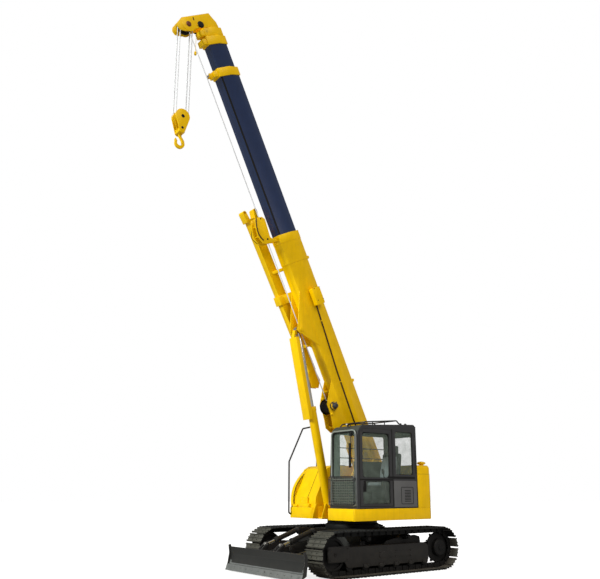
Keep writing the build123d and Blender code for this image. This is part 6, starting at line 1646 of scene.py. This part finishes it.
    def seat(self) -> None:
        """Seat with its cushions, and the console."""
        Skin("control_console", "upperworks", PLASTIC, 0.010).build()
        Skin("operator_seat", "upperworks", PLASTIC, 0.012).build()
        squab = [(-0.30, 1.560), (0.05, 1.580), (0.085, 1.600), (0.090, 1.670), (0.060, 1.695), (-0.02, 1.685),
                 (-0.20, 1.670), (-0.30, 1.670)]
        back = [(-0.330, 1.700), (-0.265, 1.690), (-0.235, 1.760), (-0.250, 1.900), (-0.300, 2.080),
                (-0.345, 2.200), (-0.385, 2.210), (-0.395, 2.170), (-0.365, 2.000), (-0.335, 1.850)]
        for name, section, right, left, fill in (("seat_cushion", squab, 0.585, 1.015, 0.6),
                                                 ("back_cushion", back, 0.595, 1.005, 0.5)):
            cushion = Bench.dress(Bench.plate(name, section, right, left, edge=0.022), "upperworks", CLOTH)

    def build(self) -> None:
        """Build the cab."""
        self.shell()
        self.seals()
        self.wiper()
        self.door_fittings()
        self.roof()
        self.guard()
        self.seat()


# -------- boom
@dataclass
class BoomSections:
    """Base, the three inner sections and the head, with collars, eyes, cables and the hoist rope."""

    base_front: float = 5.300
    fronts: dict[str, tuple[str, float]] = field(default_factory=lambda: {
        "boom_section_2": ("section_2", 8.993),
        "boom_section_3": ("section_3", 9.696),
        "boom_section_4": ("section_4", 9.884),
    })
    collar: float = 0.1815
    half_height: float = 0.270
    side: float = 0.195
    flat: float = 0.130
    step: float = 0.022              # each section is smaller than the last by this all round
    lean: float = 0.6                # how much of that step the flat faces lose
    strip: Pair = (-0.246, -0.206)
    rope_radius: float = 0.010
    head_face: float = 0.118
    pins: tuple[Point, ...] = ((9.969, -0.570, 0.045), (9.948, -0.276, 0.060))      # place and radius

    def flank(self, t: float) -> float:
        """Half width of the base at a height over its middle line."""
        return self.side - (self.side - self.flat) * abs(t) / self.half_height

    def sections(self) -> None:
        """Refine the sections, paint their collars and a dark strip low on the flank of section 2."""
        Skin("boom_base", "boom", YELLOW, 0.006).build()
        place = BOOM.matrix()
        home = place.inverted()
        for node, (body, front) in self.fronts.items():
            def on_collar(middle: Vector, normal: Vector, front: float = front) -> bool:
                """Whether a face lies on the section's collar."""
                return (home @ middle).x > front - self.collar
            section = Skin(node, body, NAVY, 0.004, YELLOW, on_collar).build()
            if node == "boom_section_2":
                top = Vector((0, 0, self.strip[1]))
                Bench.score(section, place @ top, place.to_3x3() @ Vector((0, 0, 1)))
                Bench.paint(section, RUBBER, self.on_strip)
        Skin("boom_head", "boom_tip", YELLOW, 0.005).build()
        Skin("head_sheaves", "boom_tip", RUNNING, 0.002).build()

    def on_strip(self, middle: Vector, normal: Vector) -> bool:
        """Whether a face lies low on the flank of section 2, where the dark strip runs.

        Args:
            middle: the face's middle.
            normal: its normal.

        Returns:
            Whether it does.
        """
        home = BOOM.matrix().inverted()
        spot, facing = home @ middle, home.to_3x3() @ normal
        low, high = self.strip
        return spot.x < 8.80 and low < spot.z < high + 0.001 and abs(spot.y) > 0.11 and abs(facing.y) > 0.40

    def base_fittings(self) -> None:
        """Cable on the flank with its clips, sensor box with its bolts and glands, and lifting eyes."""
        where = BOOM.matrix()
        run = [(3.66, -0.010), (3.56, -0.016), (3.102, -0.039), (2.166, -0.090), (0.860, -0.123), (0.340, -0.135)]
        route = [(s, self.flank(t) + 0.008, t) for s, t in run]
        Bench.dress(Bench.pipe("flank_cable", route, 0.015, where, smooth=False), "boom", HOSE)
        clips = []
        for s, t in ((3.30, -0.029), (1.95, -0.097), (0.62, -0.129)):
            y = self.flank(t)
            low, high = (s - 0.008, y - 0.004, t - 0.022), (s + 0.008, y + 0.025, t + 0.022)
            clips.append(Bench.box("cable_clip", low, high, where, edge=0.003))
        Bench.fit("cable_clips", clips, "boom", YELLOW)
        Skin("sensor_box", "boom", YELLOW, 0.008).build()
        at = [(s, 0.3152, t) for s in (3.735, 3.995) for t in (-0.015, 0.135)]
        Bench.dress(Bench.bolts("box_bolts", at, (0, 1, 0), 0.009, where), "boom", RUBBER)
        glands = [Bench.rod("box_gland", (3.665, 0.235, 0.0), (3.74, 0.235, 0.0), 0.028, where, edge=0.004),
                  Bench.rod("box_gland_nut", (3.60, 0.235, 0.0), (3.67, 0.235, 0.0), 0.016, where)]
        Bench.fit("box_glands", glands, "boom", YELLOW)
        Bench.fit("base_eyes", [self.eye(s) for s in (1.844, 4.68)], "boom", YELLOW)

    def eye(self, s: float) -> Piece:
        """Lifting eye welded on the base's top face.

        Args:
            s: its place along the boom.

        Returns:
            The eye.
        """
        top, radius, rise = self.half_height, 0.036, 0.045
        outline = [(s - 0.045, top - 0.002), (s + 0.045, top - 0.002), (s + radius, top + 0.040)]
        outline += [(s + radius * math.cos(a), top + rise + radius * math.sin(a))
                    for a in (math.radians(angle) for angle in (30, 60, 90, 120, 150))]
        outline += [(s - radius, top + 0.040)]
        return Bench.plate("base_eye", outline, 0.085, 0.105, where=BOOM.matrix(), edge=0.003)

    def collar_shading(self) -> None:
        """Dark ring before each collar, bedded on the section that slides through it, as painted shade for the
        shadow at the collar's rim.
        """
        where = BOOM.matrix()
        ends = [("boom", self.base_front)] + list(self.fronts.values())[:2]
        for index, (body, front) in enumerate(ends):
            inset = self.step * (index + 1)
            half, flat = self.half_height - inset + 0.004, self.flat - self.lean * inset + 0.002
            side = self.side - inset + 0.004
            corners = ((flat, half), (side, 0.0), (flat, -half), (-flat, -half), (-side, 0.0), (-flat, half))
            loop = [(front + 0.0026, y, t) for y, t in corners]
            # dark ring as painted shade before the collar
            ring = Bench.pipe(f"wiper_ring_{index + 1}", loop, 0.0022, where, sides=1, smooth=False, closed=True)
            Bench.dress(ring, body, RUBBER)

    def rope(self) -> None:
        """Hoist rope from the winch to the head, in pieces between set places along the boom."""
        where = BOOM.matrix()
        line = [(1.640, -0.492), (5.30, -0.499), (8.86, -0.508), (9.56, -0.522), (9.74, -0.527), (9.90, -0.532)]
        stops = (1.640, 8.40, 8.95, 9.50, 9.90)
        for index, (low, high) in enumerate(zip(stops, stops[1:])):
            steps = max(4, round((high - low) / 0.12))
            places = (low + (high - low) * k / steps for k in range(steps + 1))
            points = [(s, 0.0, self.line_at(line, s)) for s in places]
            piece = Bench.pipe(f"hoist_rope_{index + 1}", points, self.rope_radius, where, sides=2, smooth=False)
            piece.data.materials.append(ROPE.material())
            start, end = (tuple(where @ Vector(points[place])) for place in (0, -1))
            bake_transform(piece)
            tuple(start)
            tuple(end)

    @staticmethod
    def line_at(line: list[Pair], s: float) -> float:
        """Height of a broken line.

        Args:
            line: the line's corners, as places along the boom and heights.
            s: the place along the boom.

        Returns:
            The height there.
        """
        for (s0, t0), (s1, t1) in zip(line, line[1:]):
            if s <= s1:
                return t0 + (t1 - t0) * (s - s0) / (s1 - s0)
        return line[-1][1]

    def guides(self) -> None:
        """Rope guide under the collar of section 2, with its roller."""
        where = BOOM.matrix()
        s = 8.89
        bracket = [Bench.box("guide_arm", (s - 0.04, y - 0.006, -0.47), (s + 0.04, y + 0.006, -0.24), where,
                             edge=0.003) for y in (-0.047, 0.047)]
        bracket.append(Bench.rod("guide_bar", (s, -0.056, -0.46), (s, 0.056, -0.46), 0.010, where))
        Bench.fit("rope_guide", bracket, "section_2", YELLOW)
        half = [(0.028, 0.019), (0.033, 0.026), (0.039, 0.026), (0.039, 0.0)]
        profile = mirrored(half[::-1], -1) + half
        roller = Bench.lathe("guide_roller", profile, (s, 0.0, -0.462), where=where, steps=20)
        Bench.dress(roller, "section_2", STEEL)

    def rope_housing(self) -> None:
        """Plates, roller and edge hose of the rope guide that stands ahead of the base's collar."""
        where = BOOM.matrix()
        outline = [(5.762, -0.672), (5.782, -0.590), (5.772, -0.480), (5.715, -0.422), (5.318, -0.455),
                   (5.270, -0.400), (5.252, -0.286), (5.192, -0.286), (5.212, -0.420), (5.200, -0.600),
                   (5.232, -0.687), (5.402, -0.757), (5.640, -0.722)]
        parts = [Bench.plate("housing_plate", outline, low, low + 0.018, where=where) for low in (0.062, -0.080)]
        parts += [Bench.rod("housing_stay", (s, -0.070, t), (s, 0.070, t), 0.012, where, sides=12)
                  for s, t in ((5.40, -0.715), (5.61, -0.680))]
        parts.append(Bench.box("housing_web", (5.198, -0.066, -0.310), (5.250, 0.066, -0.286), where, edge=0.003))
        Bench.fit("rope_housing", parts, "boom", YELLOW)
        hose = [(5.768, 0.088, -0.640), (5.720, 0.090, -0.668), (5.620, 0.090, -0.698), (5.500, 0.090, -0.722),
                (5.380, 0.090, -0.715), (5.290, 0.088, -0.655)]
        Bench.dress(Bench.pipe("housing_hose", hose, 0.011, where), "boom", HOSE)
        axle_s, axle_t = 5.740, -0.530
        half = [(0.044, 0.020), (0.050, 0.030), (0.058, 0.030), (0.058, 0.0)]
        profile = mirrored(half[::-1], -1) + half
        wheel = Bench.lathe("housing_roller", profile, (axle_s, 0.0, axle_t), where=where, steps=20)
        pins = [Bench.rod("housing_pin", (s, -0.086, t), (s, 0.088, t), radius, where, sides=14)
                for s, t, radius in ((axle_s, axle_t, 0.014), (5.293, -0.539, 0.020))]
        Bench.fit("housing_wheel", [wheel] + pins, "boom", RUNNING)

    def head_pins(self) -> None:
        """Discs over the two pins of the head and over its sheaves."""
        where = BOOM.matrix()
        for index, ((s, t, radius), finish) in enumerate(zip(self.pins, (RUST, RUNNING))):
            profile = [(0.0, 0.0), (0.0, radius + 0.014), (0.010, radius + 0.014), (0.014, radius),
                       (0.030, radius - 0.004), (0.032, 0.0)]
            for side, sign in SIDES:
                centre = (s, sign * (self.head_face + 0.004), t)
                name = f"head_pin_{index}_{side}"
                disc = Bench.lathe(name, mirrored(profile, sign), centre, where=where, steps=24)
                Bench.dress(disc, "boom_tip", finish)
        ring = [(0.0, 0.0), (0.0, 0.158), (0.006, 0.158), (0.009, 0.152), (0.009, 0.0)]
        s, t, _ = self.pins[0]
        for side, sign in SIDES:
            centre = (s, sign * (self.head_face - 0.001), t)
            disc = Bench.lathe(f"sheave_boss_{side}", mirrored(ring, sign), centre, where=where, steps=36)
            Bench.dress(disc, "boom_tip", YELLOW)

    def head_fittings(self) -> None:
        """Dark slot patches, whips and pin keepers of the head."""
        where = BOOM.matrix()
        face = self.head_face
        # the slots are dark patches on the face, painted shade for the openings
        rows = [(9.80, -0.135, 0.016, 0.045), (10.08, -0.40, 0.035, 0.012)]     # place and half size
        slot_shades = [Bench.box("head_hole", (s - a, face - 0.004, t - b), (s + a, face + 0.0012, t + b), where,
                           edge=0.0) for s, t, a, b in rows]
        Bench.fit("head_holes", slot_shades, "boom_tip", RUBBER)
        whips = [Bench.rod("head_whip", (s, 0.09, -0.02), (s + 0.06, 0.09, 0.075), 0.006, where, sides=10)
                 for s in (10.04, 9.99)]
        Bench.fit("head_whips", whips, "boom_tip", RUNNING)
        inner, outer = face - 0.002, face + 0.010
        keepers = [Bench.box("pin_keeper", (s - 0.014, inner, t - 0.10), (s + 0.014, outer, t - 0.055), where,
                             edge=0.003) for s, t, _ in self.pins]
        at = [(s, outer, t - 0.085) for s, t, _ in self.pins]
        keepers.append(Bench.bolts("keeper_bolts", at, (0, 1, 0), 0.009, where))
        Bench.fit("pin_keepers", keepers, "boom_tip", YELLOW)

    @staticmethod
    def limit_switch() -> None:
        """Weight of the limit switch, which hangs on its line beside the falls."""
        x, y, top, low, tall = 4.026, -0.034, 10.590, 10.190, 0.086
        profile = [(0.0, 0.0), (0.0, 0.022), (0.012, 0.027), (0.062, 0.025), (tall, 0.010), (tall, 0.0)]
        weight = Bench.lathe("limit_weight", profile, (x, y, low), axis="z", steps=20)
        line = Bench.pipe("limit_line", [(x, y, low + tall - 0.006), (x, y, top)], 0.004, sides=1, smooth=False)
        Bench.fit("limit_switch", [weight, line], "hook_falls", YELLOW)

    def build(self) -> None:
        """Build the boom."""
        self.sections()
        self.base_fittings()
        self.collar_shading()
        self.rope()
        self.guides()
        self.rope_housing()
        self.head_pins()
        self.head_fittings()
        self.limit_switch()


@dataclass
class FlyJib:
    """Stowed jib on the boom's right side, its brackets and its cable."""

    cable_y: float = -0.30
    cable_radius: float = 0.006

    def build(self) -> None:
        """Refine the jib and its brackets, and add the short bowed cable under it."""
        Skin("fly_jib", "boom", YELLOW, 0.006).build()
        Skin("jib_brackets", "boom", YELLOW, 0.004).build()
        bow = [(5.60, -0.545), (5.52, -0.612), (5.45, -0.635), (5.38, -0.612), (5.30, -0.545)]
        route = [(s, self.cable_y, t) for s, t in bow]
        cable = Bench.pipe("jib_cable", route, self.cable_radius, BOOM.matrix(), sides=2)
        Bench.dress(cable, "boom", RUBBER)


@dataclass
class Winch:
    """Hoist winch under the boom: frame, drum with its coil of rope, motor and ports."""

    axis: Pair = (1.550, -0.480)
    coil_half: float = 0.085
    coil_core: float = 0.100
    turns: int = 13
    motor_y: float = 0.140
    knobs: tuple[Pair, ...] = ((1.791, -0.699), (1.414, -0.588))

    def coil(self) -> Piece:
        """Rope wound on the drum, a ridge for each turn.

        Returns:
            The coil.
        """
        s, t = self.axis
        pitch = 2 * self.coil_half / self.turns
        profile = [(-self.coil_half, self.coil_core)]
        for index in range(self.turns):
            start = -self.coil_half + index * pitch
            profile += [(start + pitch * share, radius)
                        for share, radius in ((0.0, 0.1175), (0.25, 0.1225), (0.5, 0.1240), (0.75, 0.1225))]
        profile += [(self.coil_half, 0.1175), (self.coil_half, self.coil_core)]
        return Bench.lathe("rope_coil", profile, (s, 0.0, t), where=BOOM.matrix(), steps=40)

    def build(self) -> None:
        """Build the winch."""
        where = BOOM.matrix()
        Skin("winch_frame", "boom", YELLOW, 0.004).build()
        Skin("winch_drum", "winch_drum", RUNNING, 0.003).build()
        Bench.dress(self.coil(), "winch_drum", ROPE)
        s, t = self.axis
        profile = [(0.0, 0.0), (0.0, 0.090), (0.020, 0.090), (0.024, 0.068), (0.070, 0.066), (0.076, 0.045),
                   (0.110, 0.043), (0.114, 0.0)]
        motor = [Bench.lathe("winch_motor", profile, (s, self.motor_y, t), where=where, steps=28, edge=0.002),
                 Bench.rod("motor_port", (s, 0.190, t), (s + 0.085, 0.190, t - 0.030), 0.018, where),
                 Bench.rod("motor_port", (s, 0.225, t), (s + 0.070, 0.225, t + 0.045), 0.014, where)]
        Bench.fit("hoist_motor", motor, "boom", IRON)
        profile = [(0.0, 0.0), (0.0, 0.030), (0.018, 0.030), (0.024, 0.022), (0.040, 0.020), (0.042, 0.0)]
        for index, (s, t) in enumerate(self.knobs):
            knob = Bench.lathe(f"winch_knob_{index}", profile, (s, 0.125, t), where=where, steps=20)
            Bench.dress(knob, "boom", YELLOW)


@dataclass
class HookGear:
    """Falls of rope, block and hook."""

    x: float = 4.2505
    y: float = -0.1
    fall_spread: Pair = (0.135, 0.060)
    fall_ends: Pair = (8.697, 10.804)
    fall_radius: float = 0.011
    cheek: float = 0.104
    pins: tuple[Pair, ...] = ((8.6947, 0.030), (8.4417, 0.020))     # height and radius

    def build(self) -> None:
        """Build the falls, the block with its pins, and the hook."""
        (along, across), (low, high) = self.fall_spread, self.fall_ends
        falls = [Bench.rod("fall", (x, y, low), (x, y, high), self.fall_radius, sides=12, edge=0.0)
                 for x in (self.x - along, self.x + along) for y in (self.y - across, self.y + across)]
        ropes = Bench.join("falls_of_rope", falls)
        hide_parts("rope_falls")
        Bench.dress(ropes, "hook_falls", ROPE)
        Skin("hook_block", "hook_falls", YELLOW, 0.005).build()
        Skin("hook", "hook", YELLOW, 0.008).build()
        parts = []
        for z, radius in self.pins:
            profile = [(0.0, 0.0), (0.0, radius + 0.008), (0.007, radius + 0.008), (0.010, radius - 0.004),
                       (0.010, 0.0)]
            for _, sign in SIDES:
                centre = (self.x, self.y + sign * (self.cheek - 0.004), z)
                parts.append(Bench.lathe("block_pin", mirrored(profile, sign), centre, steps=20))
        Bench.fit("block_pins", parts, "hook_falls", RUNNING)


@dataclass
class LuffCylinder:
    """Cylinder that raises the boom, and the lugs about its foot."""

    lug_inner: Pair = (-0.262, 0.046)
    lug_thickness: float = 0.016

    def lugs(self) -> None:
        """Lug plates each side of the foot, welded on the upper frame's front."""
        outline = [(0.690, 0.985), (0.845, 0.985), (0.832, 1.065), (0.780, 1.200), (0.748, 1.270), (0.716, 1.280),
                   (0.690, 1.245)]
        parts = [Bench.plate("foot_lug", outline, low, low + self.lug_thickness) for low in self.lug_inner]
        outer = self.lug_inner[1] + self.lug_thickness
        at = [(x, outer, z) for x, z in ((0.730, 1.235), (0.815, 1.015), (0.725, 1.015))]
        parts.append(Bench.bolts("foot_bolts", at, (0, 1, 0), 0.012))
        Bench.fit("foot_lugs", parts, "upperworks", YELLOW)

    def build(self) -> None:
        """Refine the barrel, rod and guard, and add the lugs."""
        self.lugs()
        Skin("luff_barrel", "luff_barrel", YELLOW, 0.004).build()
        Skin("luff_rod", "luff_rod", CHROME, 0.003).build()
        Skin("rod_guard", "luff_rod", YELLOW, 0.005).build()


def main() -> None:
    """Build the studio and the crane."""
    logging.basicConfig(level=logging.INFO, format="%(message)s")
    Studio().build()
    for part in (Carbody(), Tracks(), RunningGear(), DozerBlade(), UpperBody(), Cab(), BoomSections(), FlyJib(),
                 Winch(), HookGear(), LuffCylinder()):
        part.build()
        log.info("%s built", type(part).__name__)
    for piece in sorted(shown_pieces(), key=lambda item: item.name):
        log.info("%s: %d faces", piece.name, len(piece.data.polygons))


if __name__ == "__main__":
    main()
